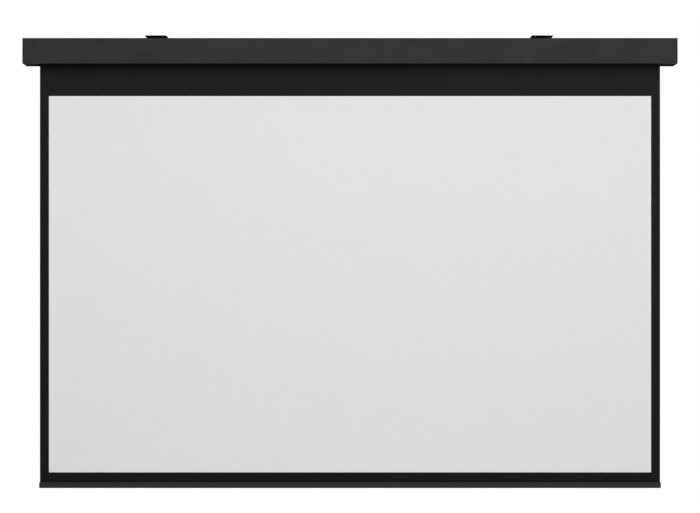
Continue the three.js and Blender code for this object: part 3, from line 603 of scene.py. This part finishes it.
def plated_group():
    """Plated or drawn metal: fine lines along one way, cloudy tone and rubbed edges."""
    tree, given, result = effect_group(
        "plated_metal",
        [
            ("Color", "Color", BLACK_ZINC),
            ("Rubbed Color", "Color", BARE_ZINC),
            ("Rub", "Float", 0.3),
            ("Roughness", "Float", 0.35),
            ("Line Scale", "Vector", (40.0, 900.0, 900.0)),
            ("Line Height", "Float", 0.000006),
        ],
        [("Color", "Color"), ("Roughness", "Float"), ("Normal", "Vector")],
    )
    place = add_node(tree, "TexCoord").outputs["Object"]
    cloud = spread(tree, noise(tree, place, per_metre=120.0, detail=3.0), low=0.86, high=1.1)
    worn = add_node(tree, "Group", {"node_tree": edge_wear}, {"Radius": 0.0004, "Patches per Metre": 300.0})
    rub = calculate(tree, "MULTIPLY", worn.outputs["Mask"], given["Rub"])
    toned = shade(tree, given["Color"], cloud)
    tree.links.new(blend_colors(tree, rub, toned, given["Rubbed Color"]), result["Color"])
    stretched = add_node(tree, "VectorMath", {"operation": "MULTIPLY"}, {0: place, 1: given["Line Scale"]})
    lines = noise(tree, stretched.outputs[0], per_metre=1.0, detail=3.0)
    uneven = spread(tree, lines, low=-0.07, high=0.07)
    tree.links.new(calculate(tree, "ADD", given["Roughness"], uneven), result["Roughness"])
    scratch = add_node(tree, "Bump", None, {
        "Height": lines, "Distance": given["Line Height"], "Strength": 1.0,
    })
    tree.links.new(scratch.outputs["Normal"], result["Normal"])
    return tree


plated_metal = plated_group()
black_zinc = finished("black_zinc", plated_metal, {"Color": BLACK_ZINC}, {"Metallic": 0.8})


def drive_screw(name, node, mesh, towards, material):
    """Puts a screw in place of a packed one, driven towards +X or -X, with its finish."""
    low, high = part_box(node)
    screw = bpy.data.objects.new(name, mesh.copy())
    screw.location = (low.x if towards > 0 else high.x, (low.y + high.y) / 2, (low.z + high.z) / 2)
    screw.rotation_euler = (0, 0, 0 if towards > 0 else pi)
    bpy.context.scene.collection.objects.link(screw)
    stand_for(screw, node, "case", material)


end_screw = screw_mesh("end_screw", "end_screw_left_1", flush=True)
for side, inward in (("left", 1), ("right", -1)):
    for i in range(1, 5):
        drive_screw(
            f"cap_screw_{side}_{i}", f"end_screw_{side}_{i}", end_screw, inward, black_zinc
        )


# Brackets: pressed steel plates, bright zinc plated, that carry the roller at each end. Two pan
# head screws hold each one to the bosses of its end cap. The idler's has a nylon bush for its pin.
BRACKET_ROUNDING = 0.0002
ZINC = (0.5, 0.51, 0.53, 1)
ZINC_RUBBED = (0.62, 0.63, 0.65, 1)
NYLON = (0.72, 0.7, 0.64, 1)
NYLON_HANDLED = (0.78, 0.77, 0.72, 1)

bright_zinc = finished(
    "bright_zinc",
    plated_metal,
    {"Color": ZINC, "Rubbed Color": ZINC_RUBBED, "Line Scale": (260.0, 260.0, 260.0), "Roughness": 0.34},
    {"Metallic": 1.0},
)
nylon = finished(
    "nylon",
    moulded_grain,
    {"Color": NYLON, "Handled Color": NYLON_HANDLED, "Roughness": 0.45, "Grain Height": 0.000008},
    {"Subsurface Weight": 0.08, "Subsurface Scale": 0.001, "Specular IOR Level": 0.45},
)
for name, node in (("motor_end_plate", "motor_bracket"), ("idler_end_plate", "idler_bracket")):
    rounded_copy(name, node, "case", bright_zinc, BRACKET_ROUNDING)
rounded_copy("flanged_bush", "idler_bush", "case", nylon, BRACKET_ROUNDING)
plate_screw = screw_mesh("plate_screw", "bracket_screw_left_1", flush=False)
for side, outward in (("left", -1), ("right", 1)):
    for i in range(1, 3):
        drive_screw(
            f"plate_screw_{side}_{i}", f"bracket_screw_{side}_{i}", plate_screw, outward,
            bright_zinc,
        )


# Tubular motor: a drawn steel tube with a moulded head, held in its bracket by a square spigot and
# a spring clip. Two small coloured screws under the head set where the screen stops.
MOTOR_HEAD_ROUNDING = 0.0004
ADJUSTER_ROUNDING = 0.00025
SHELL_ROUNDING = 0.00015
CLIP_ROUNDING = 0.00015
DRIVE_ROUNDING = 0.0002
MOTOR_GREY = (0.24, 0.25, 0.27, 1)
MOTOR_PLASTIC = (0.03, 0.033, 0.038, 1)
ADJUSTER_WHITE = (0.78, 0.78, 0.76, 1)
ADJUSTER_YELLOW = (0.66, 0.5, 0.035, 1)
YELLOW_HANDLED = (0.78, 0.66, 0.2, 1)

drawn_steel = finished(
    "drawn_steel",
    plated_metal,
    {"Color": MOTOR_GREY, "Rubbed Color": ZINC, "Line Scale": (12.0, 1100.0, 1100.0), "Roughness": 0.42},
    {"Metallic": 0.9, "Anisotropic": 0.4},
)
motor_plastic = finished(
    "motor_plastic",
    moulded_grain,
    {"Color": MOTOR_PLASTIC, "Roughness": 0.42, "Grain Height": 0.000012},
    {"Specular IOR Level": 0.45},
)
rounded_copy(
    "motor_head_moulding", "motor_head", "case", motor_plastic, MOTOR_HEAD_ROUNDING
)
for way, slot, color, handled in (
    ("up", "adjuster_white", ADJUSTER_WHITE, NYLON_HANDLED),
    ("down", "adjuster_yellow", ADJUSTER_YELLOW, YELLOW_HANDLED),
):
    node = f"limit_adjuster_{way}"
    given = {"Color": color, "Handled Color": handled, "Roughness": 0.4, "Grain Height": 0.000006}
    finish = finished(slot, moulded_grain, given, {"Specular IOR Level": 0.5})
    rounded_copy(f"limit_screw_{way}", node, f"adjuster_{way}", finish, ADJUSTER_ROUNDING)
rounded_copy("motor_shell", "motor_tube", "case", drawn_steel, SHELL_ROUNDING)
rounded_copy("spring_clip", "motor_clip", "case", bright_zinc, CLIP_ROUNDING)
rounded_copy("drive_shaft", "output_shaft", "roller", bright_zinc, DRIVE_ROUNDING)
rounded_copy("spoked_wheel", "drive_wheel", "roller", motor_plastic, DRIVE_ROUNDING)
rounded_copy("crown_ring", "limit_crown", "roller", nylon, DRIVE_ROUNDING)


# Motor lead: a short rubber flex inside the case, bent once on its way to the connector. The
# mains cord that would meet it there through the grommet isn't part of the photograph.
LEAD_BEND = 0.008
LEAD_STEPS = 20
LEAD_SIDES = 20
CONNECTOR_ROUNDING = 0.0003
FLEX_BLACK = (0.011, 0.011, 0.012, 1)
FLEX_SCUFF = (0.03, 0.03, 0.031, 1)


def tube_along(name, route, radius, sides):
    """A round tube along a level route, with flat ends."""
    solid = bmesh.new()
    up = Vector((0, 0, 1))
    turns = [2 * pi * j / sides for j in range(sides)]
    rings = []
    for i, point in enumerate(route):
        ahead = route[min(i + 1, len(route) - 1)] - route[max(i - 1, 0)]
        across = ahead.cross(up).normalized()
        rings.append([solid.verts.new(point + radius * (across * cos(a) + up * sin(a))) for a in turns])
    for first, second in zip(rings, rings[1:]):
        for j in range(sides):
            solid.faces.new((first[j - 1], first[j], second[j], second[j - 1]))
    solid.faces.new(rings[0])
    solid.faces.new(rings[-1])
    bmesh.ops.recalc_face_normals(solid, faces=solid.faces)
    return new_piece(name, solid)


flex_rubber = finished(
    "flex_rubber",
    moulded_grain,
    {"Color": FLEX_BLACK, "Handled Color": FLEX_SCUFF, "Roughness": 0.62, "Grain Height": 0.00001},
    {"Specular IOR Level": 0.35},
)
low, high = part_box("motor_lead")
lead_radius = (high.z - low.z) / 2
lead_z = (low.z + high.z) / 2
lead_start = Vector((high.x - lead_radius, low.y, lead_z))
lead_bend = Vector((high.x - lead_radius, high.y - lead_radius - LEAD_BEND, lead_z))
lead_route = [lead_start]
for i in range(LEAD_STEPS + 1):
    turn = pi / 2 * i / LEAD_STEPS
    around = Vector((cos(turn) - 1, sin(turn), 0))
    lead_route.append(lead_bend + around * LEAD_BEND)
motor_flex = tube_along("motor_flex", lead_route, lead_radius, LEAD_SIDES)
smooth(motor_flex)
stand_for(motor_flex, "motor_lead", "case", flex_rubber)
rounded_copy("terminal_block", "lead_connector", "case", nylon, CONNECTOR_ROUNDING)


# Cable grommet: a soft black rubber ring snapped into the left end cap, where the mains cord would
# leave. Its lips are rounded, and it lies in a recess so that nothing stands proud.
GROMMET_BORE = 0.0036
GROMMET_NECK = 0.0048
OUTER_LIP = 0.001
INNER_LIP = 0.0013
LIP_ROUNDING = 0.0004
GROMMET_STEPS = 48
CORNER_STEPS = 5


def rounded_profile(points, rounding, steps):
    """A closed profile with each corner turned into an arc that touches both of its sides."""
    rounded = []
    for i, corner in enumerate(points):
        here = Vector(corner)
        before = (Vector(points[i - 1]) - here).normalized()
        after = (Vector(points[(i + 1) % len(points)]) - here).normalized()
        half = before.angle(after) / 2
        reach = rounding / tan(half)
        centre = here + (before + after).normalized() * (rounding / sin(half))
        first = here + before * reach - centre
        last = here + after * reach - centre
        sweep = pi - 2 * half
        for k in range(steps + 1):
            share = k / steps
            arm = (first * sin((1 - share) * sweep) + last * sin(share * sweep)) / sin(sweep)
            rounded.append(tuple(centre + arm))
    return rounded


def turned_ring(name, profile, steps):
    """A ring turned about the X axis, from the places (along, radius) of its closed profile."""
    solid = bmesh.new()
    rings = [ring_at(solid, along, radius, steps) for along, radius in profile]
    for i in range(len(rings)):
        join_rings(solid, rings[i - 1], rings[i])
    bmesh.ops.recalc_face_normals(solid, faces=solid.faces)
    return new_piece(name, solid)


low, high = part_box("cable_grommet")
depth = high.x - low.x
lip_radius = (high.z - low.z) / 2
grommet_profile = rounded_profile([
    (0, GROMMET_BORE),
    (0, lip_radius),
    (OUTER_LIP, lip_radius),
    (OUTER_LIP, GROMMET_NECK),
    (depth - INNER_LIP, GROMMET_NECK),
    (depth - INNER_LIP, lip_radius),
    (depth, lip_radius),
    (depth, GROMMET_BORE),
], LIP_ROUNDING, CORNER_STEPS)
grommet = turned_ring("grommet_ring", grommet_profile, GROMMET_STEPS)
grommet.location = (low.x, (low.y + high.y) / 2, (low.z + high.z) / 2)
smooth(grommet)
stand_for(grommet, "cable_grommet", "case", flex_rubber)


# Roller: a tube extruded in aluminium and left as it comes, with a keyhole groove where a nylon
# spline locks the cloth in. The motor turns it at the left, and it runs on a steel pin at the right.
ROLLER_ROUNDING = 0.0002
SPLINE_ROUNDING = 0.0001
PLUG_ROUNDING = 0.0003
PIN_ROUNDING = 0.0002
MILL_ALUMINIUM = (0.52, 0.53, 0.55, 1)
ALUMINIUM_RUB = (0.66, 0.67, 0.68, 1)

mill_finish = finished(
    "mill_finish",
    plated_metal,
    {
        "Color": MILL_ALUMINIUM, "Rubbed Color": ALUMINIUM_RUB, "Line Scale": (9.0, 800.0, 800.0),
        "Roughness": 0.36, "Line Height": 0.00001,
    },
    {"Metallic": 1.0, "Anisotropic": 0.5},
)
rounded_copy("roller_extrusion", "roller_tube", "roller", mill_finish, ROLLER_ROUNDING)
rounded_copy("spline_strip", "fabric_spline", "roller", nylon, SPLINE_ROUNDING)
rounded_copy("end_plug", "idler_plug", "roller", nylon, PLUG_ROUNDING)
rounded_copy("pivot_pin", "idler_pin", "roller", bright_zinc, PIN_ROUNDING)


# Cloth left on the roller: when the screen is down, two and a quarter turns of the black backed
# cloth stay wound on the tube. It leaves the roll at the back and ends in the tube's groove.
SPLINE_CENTRE = 0.022
GROOVE_ROOM = 0.0019
CLOTH_THICKNESS = 0.0003
CLOTH_WIDTH = 2.06
WIND_PITCH = 0.00075
WIND_START = 0.02545
WOUND_TURNS = 2.25
WIND_STEPS = 96
YARN_PITCH = 0.0009
YARN_HEIGHT = 0.00003
ROLL_MARKS_PER_METRE = (0.6, 16.0, 1.0)
CLOTH_BLACK = (0.0067, 0.0067, 0.0067, 1)
CLOTH_DUST = (0.0087, 0.0087, 0.0086, 1)


def screen_cloth_group():
    """Coated cloth: a plain weave that shows through, faint marks across it from the roll, and dust."""
    tree, given, result = effect_group(
        "screen_cloth",
        [
            ("Color", "Color", CLOTH_BLACK),
            ("Dust Color", "Color", CLOTH_DUST),
            ("Dust", "Float", 0.5),
            ("Roughness", "Float", 0.8),
            ("Weave Height", "Float", YARN_HEIGHT),
            ("Roll Mark Height", "Float", 0.0002),
        ],
        [("Color", "Color"), ("Roughness", "Float"), ("Normal", "Vector")],
    )
    flat = add_node(tree, "UVMap", {"uv_map": "cloth_metres"}).outputs["UV"]
    parts = add_node(tree, "SeparateXYZ", None, {0: flat}).outputs
    waves = [
        calculate(tree, "COSINE", calculate(tree, "MULTIPLY", parts[way], pi / YARN_PITCH))
        for way in ("X", "Y")
    ]
    weave = calculate(tree, "MULTIPLY", waves[0], waves[1])
    across = add_node(tree, "VectorMath", {"operation": "MULTIPLY"}, {0: flat, 1: ROLL_MARKS_PER_METRE})
    roll_marks = noise(tree, across.outputs[0], per_metre=1.0, detail=3.0)
    cloud = noise(tree, flat, per_metre=5.0, detail=4.0)
    fleck = spread(tree, noise(tree, flat, per_metre=700.0, detail=1.0), low=0.97, high=1.03)
    mottle = spread(tree, noise(tree, flat, per_metre=130.0), low=0.985, high=1.015)
    clouded = spread(tree, cloud, low=0.0, high=1.0, start=0.35, end=0.75)
    dusty = calculate(tree, "MULTIPLY", clouded, given["Dust"])
    thready = spread(tree, weave, low=0.97, high=1.03, start=-1.0, end=1.0)
    flecked = calculate(tree, "MULTIPLY", thready, fleck)
    tone = calculate(tree, "MULTIPLY", flecked, mottle)
    mixed = blend_colors(tree, dusty, given["Color"], given["Dust Color"])
    tree.links.new(shade(tree, mixed, tone), result["Color"])
    uneven = spread(tree, cloud, low=-0.03, high=0.03)
    tree.links.new(calculate(tree, "ADD", given["Roughness"], uneven), result["Roughness"])
    marks = add_node(tree, "Bump", None, {
        "Height": roll_marks, "Distance": given["Roll Mark Height"], "Strength": 1.0,
    })
    threads = add_node(tree, "Bump", None, {
        "Height": weave, "Distance": given["Weave Height"], "Strength": 1.0,
        "Normal": marks.outputs["Normal"],
    })
    tree.links.new(threads.outputs["Normal"], result["Normal"])
    return tree


screen_cloth = screen_cloth_group()
black_cloth = finished(
    "black_cloth",
    screen_cloth,
    {"Color": CLOTH_BLACK, "Dust Color": CLOTH_DUST, "Roughness": 0.4},
    {"Specular IOR Level": 0.04},
)


def wound_line():
    """The middle line of the wound cloth, as seen from the right end, with the roller's axis at 0."""
    steps = round(WOUND_TURNS * WIND_STEPS)
    outer = WIND_START + WIND_PITCH * WOUND_TURNS
    line = []
    for i in range(steps):
        turn = 2 * pi * WOUND_TURNS * i / steps
        radius = outer - WIND_PITCH * WOUND_TURNS * i / steps
        line.append(Vector((radius * cos(turn), radius * sin(turn))))
    line.append(Vector((0, WIND_START)))
    line.append(Vector((0, SPLINE_CENTRE + GROOVE_ROOM)))
    return line


def thick_line(line, thickness):
    """The two sides of a line with a thickness, with mitred corners."""
    sides = ([], [])
    for i, point in enumerate(line):
        before = (point - line[i - 1]).normalized() if i > 0 else None
        after = (line[i + 1] - point).normalized() if i < len(line) - 1 else before
        before = before or after
        normal = Vector((-before.y - after.y, before.x + after.x)).normalized()
        mitre = thickness / 2 / normal.dot(Vector((-before.y, before.x)))
        sides[0].append(point + normal * mitre)
        sides[1].append(point - normal * mitre)
    return sides


def cloth_uv(solid, place_of):
    """Lays a UV map in metres over a cloth, so that its weave stays in scale."""
    layer = solid.loops.layers.uv.new("cloth_metres")
    for face in solid.faces:
        for loop in face.loops:
            loop[layer].uv = place_of(loop.vert)


def wound_panel(name, axis_y, axis_z):
    """The wound cloth as a thin panel about the roller's axis, and its length along its winding."""
    line = wound_line()
    lengths = [0.0]
    for first, second in zip(line, line[1:]):
        lengths.append(lengths[-1] + (second - first).length)
    solid = bmesh.new()
    along = {}
    ends = []
    for x in (-CLOTH_WIDTH / 2, CLOTH_WIDTH / 2):
        end = []
        for points in thick_line(line, CLOTH_THICKNESS):
            for point, length in zip(points, lengths):
                vertex = solid.verts.new((x, axis_y + point.x, axis_z + point.y))
                along[vertex] = length
                end.append(vertex)
        ends.append(end)
    left, right = ends
    count = len(line)
    outline = list(range(count)) + list(range(2 * count - 1, count - 1, -1))
    for i, here in enumerate(outline):
        before = outline[i - 1]
        solid.faces.new((left[before], left[here], right[here], right[before]))
    for end in ends:
        for i in range(count - 1):
            solid.faces.new((end[i], end[i + 1], end[count + i + 1], end[count + i]))
    bmesh.ops.recalc_face_normals(solid, faces=solid.faces)
    cloth_uv(solid, lambda vertex: (vertex.co.x, along[vertex]))
    panel = new_piece(name, solid)
    smooth(panel)
    return panel, lengths[-1]


low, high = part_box("roller_tube")
wound_cloth, wound_length = wound_panel("wound_cloth", (low.y + high.y) / 2, (low.z + high.z) / 2)
stand_for(wound_cloth, "fabric_roll", "roller", black_cloth)


# Hanging cloth: black all over at the back, with black borders and a tall black drop at the front.
# The weight bar pulls it flat, and its side edges stand forward by a hair, as such cloth does.
EDGE_STAND = 0.0006
EDGE_REACH = 0.09
CLOTH_COLUMNS = 72
CLOTH_ROWS = 56

cloth_low, cloth_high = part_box("screen_sheet")
cloth_length = cloth_high.z - cloth_low.z


def edge_stand(x, z):
    """How far the hanging cloth stands forward near its side edges, nothing at its top and hem."""
    inward = CLOTH_WIDTH / 2 - abs(x)
    down = min(1.0, max(0.0, (cloth_high.z - z) / cloth_length))
    lift = max(0.0, 1 - inward / EDGE_REACH)
    return -EDGE_STAND * lift * lift * sin(pi * down)


def cloth_panel(name, low, high):
    """A thin hanging panel as large as a box, that follows the hang of the cloth."""
    solid = bmesh.new()
    layers = []
    for y in (low.y, high.y):
        rows = []
        for i in range(CLOTH_ROWS + 1):
            z = low.z + (high.z - low.z) * i / CLOTH_ROWS
            row = []
            for j in range(CLOTH_COLUMNS + 1):
                x = low.x + (high.x - low.x) * (1 - cos(pi * j / CLOTH_COLUMNS)) / 2
                row.append(solid.verts.new((x, y + edge_stand(x, z), z)))
            rows.append(row)
        layers.append(rows)
    for rows in layers:
        for i in range(CLOTH_ROWS):
            for j in range(CLOTH_COLUMNS):
                solid.faces.new((rows[i][j], rows[i][j + 1], rows[i + 1][j + 1], rows[i + 1][j]))
    front, back = layers
    rims = [
        [(front[i][j], back[i][j]) for i in range(CLOTH_ROWS + 1)] for j in (0, CLOTH_COLUMNS)
    ] + [
        [(front[i][j], back[i][j]) for j in range(CLOTH_COLUMNS + 1)] for i in (0, CLOTH_ROWS)
    ]
    for rim in rims:
        for (a, b), (c, d) in zip(rim, rim[1:]):
            solid.faces.new((a, b, d, c))
    bmesh.ops.recalc_face_normals(solid, faces=solid.faces)
    cloth_uv(solid, lambda vertex: (vertex.co.x, vertex.co.z))
    panel = new_piece(name, solid)
    smooth(panel)
    return panel


def raise_with_bar(panel):
    """Gives a panel a mesh of its own."""
    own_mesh(panel)


hanging_cloth = cloth_panel("hanging_cloth", cloth_low, cloth_high)
stand_for(hanging_cloth, "screen_sheet", "case", black_cloth)
raise_with_bar(hanging_cloth)


# Viewing surface: a matt white coating on the front of the cloth, sixteen to ten, that spreads the
# light evenly. The weave of the cloth shows through it very faintly.
COAT_WHITE = (0.716, 0.716, 0.717, 1)
COAT_SOILED = (0.708, 0.707, 0.705, 1)

white_coat = finished(
    "white_coat",
    screen_cloth,
    {
        "Color": COAT_WHITE, "Dust Color": COAT_SOILED, "Dust": 0.6, "Roughness": 0.88,
        "Weave Height": 0.000012, "Roll Mark Height": 0.0001,
    },
    {"Specular IOR Level": 0.15},
)
low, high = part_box("viewing_surface")
white_panel = cloth_panel("white_panel", low, high)
stand_for(white_panel, "viewing_surface", "case", white_coat)
raise_with_bar(white_panel)


# Weight bar: a black coated aluminium extrusion along the lower edge. A nylon rod locks the hem of
# the cloth into its groove, a steel rod weighs it down, and a moulded cap closes each end.
BAR_ROUNDING = 0.0002
HEM_ROD_ROUNDING = 0.0001
WEIGHT_ROD_ROUNDING = 0.0003
BAR_BLACK = (0.005, 0.005, 0.0051, 1)
BAR_ROUGHNESS = 0.52
BAR_SPECULAR = 0.25

bar_coat = finished(
    "bar_coat",
    powder_coat,
    {"Color": BAR_BLACK, "Worn Color": RUBBED_BLACK, "Wear": 0.35, "Roughness": BAR_ROUGHNESS},
    {"Specular IOR Level": BAR_SPECULAR},
)
rounded_copy("bar_extrusion", "weight_bar", "bar", bar_coat, BAR_ROUNDING)
for side in ("left", "right"):
    rounded_copy(f"bar_end_{side}", f"bar_cap_{side}", "bar", cap_plastic, BAR_ROUNDING)
rounded_copy("hem_strip", "hem_rod", "bar", nylon, HEM_ROD_ROUNDING)
rounded_copy("bar_weight", "weight_rod", "bar", bright_zinc, WEIGHT_ROD_ROUNDING)


# Hangers: pressed steel angles, powder coated black, that carry the case from a ceiling or a
# wall. Their colour is set darker than a real black coat: painted shade for the deep shadow
# between each hanger's plate and the case top. The hexagon bolt in each one's cup pulls a nut up
# against the lips of the track.
HANGER_ROUNDING = 0.0004
# Near pure black: the coat's own black, darkened further as painted shade for the shadow under the plate.
HANGER_BLACK_AND_PAINTED_SHADE = (0.002, 0.002, 0.0021, 1)
HANGER_RUB = (0.012, 0.012, 0.0125, 1)
HEX_STEPS = 48
HEX_HEIGHT = 0.004
HEX_CHAMFER = radians(30)
HEX_TOP_SHARE = 0.94
BOLT_RADIUS = 0.003
BOLT_PITCH = 0.001
BOLT_THREAD_DEPTH = 0.0006
BOLT_TIP = 0.0005
BOLT_ROUNDING = 0.00012

# The hangers' finish carries painted shade in its colour, as well as the black coat and its rubbed edges.
hanger_coat_with_painted_shade = finished(
    "hanger_coat_with_painted_shade",
    powder_coat,
    {"Color": HANGER_BLACK_AND_PAINTED_SHADE, "Worn Color": HANGER_RUB, "Wear": 0.5, "Roughness": 0.8},
    {"Specular IOR Level": 0.03},
)


def hexagon_bolt(name, apothem, length):
    """A threaded bolt along +X, with its seat at the origin and a chamfered hexagon head behind it."""
    solid = bmesh.new()
    rings = [[], [], []]
    inner = apothem * HEX_TOP_SHARE
    for i in range(HEX_STEPS):
        turn = 2 * pi * i / HEX_STEPS
        reach = apothem / cos(turn % (pi / 3) - pi / 6)
        fall = (reach - inner) * tan(HEX_CHAMFER)
        for ring, radius, along in zip(rings, (inner, reach, reach), (-HEX_HEIGHT, fall - HEX_HEIGHT, 0)):
            ring.append(solid.verts.new((along, radius * cos(turn), radius * sin(turn))))
    root = BOLT_RADIUS - BOLT_THREAD_DEPTH
    rings.append(ring_at(solid, 0, root, HEX_STEPS))
    turns = int((length - BOLT_TIP) / BOLT_PITCH)
    tail = [wind_thread(solid, rings[-1], BOLT_PITCH, BOLT_THREAD_DEPTH, turns)]
    tail.append(ring_at(solid, length, root - BOLT_TIP, HEX_STEPS))
    solid.faces.new(rings[0])
    solid.faces.new(tail[-1])
    for part in (rings, tail):
        for first, second in zip(part, part[1:]):
            join_rings(solid, first, second)
    bmesh.ops.recalc_face_normals(solid, faces=solid.faces)
    weights = solid.edges.layers.float.new("bevel_weight_edge")
    for edge in solid.edges:
        on_head = all(vertex.co.yz.length > BOLT_RADIUS for vertex in edge.verts)
        edge[weights] = 1.0 if on_head and edge.calc_face_angle() > SHARP else 0.0
    return new_piece(name, solid)


for side in ("left", "right"):
    body = f"hanger_{side}"
    rounded_copy(
        f"hanger_angle_{side}", f"hanger_{side}", body, hanger_coat_with_painted_shade, HANGER_ROUNDING
    )
    low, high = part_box(f"hanger_bolt_{side}")
    bolt = hexagon_bolt(f"hexagon_bolt_{side}", (high.x - low.x) / 2, high.z - HEX_HEIGHT - low.z)
    round_edges(bolt, BOLT_ROUNDING, "WEIGHT")
    bolt.location = ((low.x + high.x) / 2, (low.y + high.y) / 2, high.z - HEX_HEIGHT)
    bolt.rotation_euler = (0, pi / 2, 0)
    stand_for(bolt, f"hanger_bolt_{side}", body, bright_zinc)
    rounded_copy(
        f"nut_in_track_{side}", f"track_nut_{side}", body, bright_zinc, BRACKET_ROUNDING
    )


# Size of the dressed model, taken as the imported model's was above.
low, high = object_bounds()
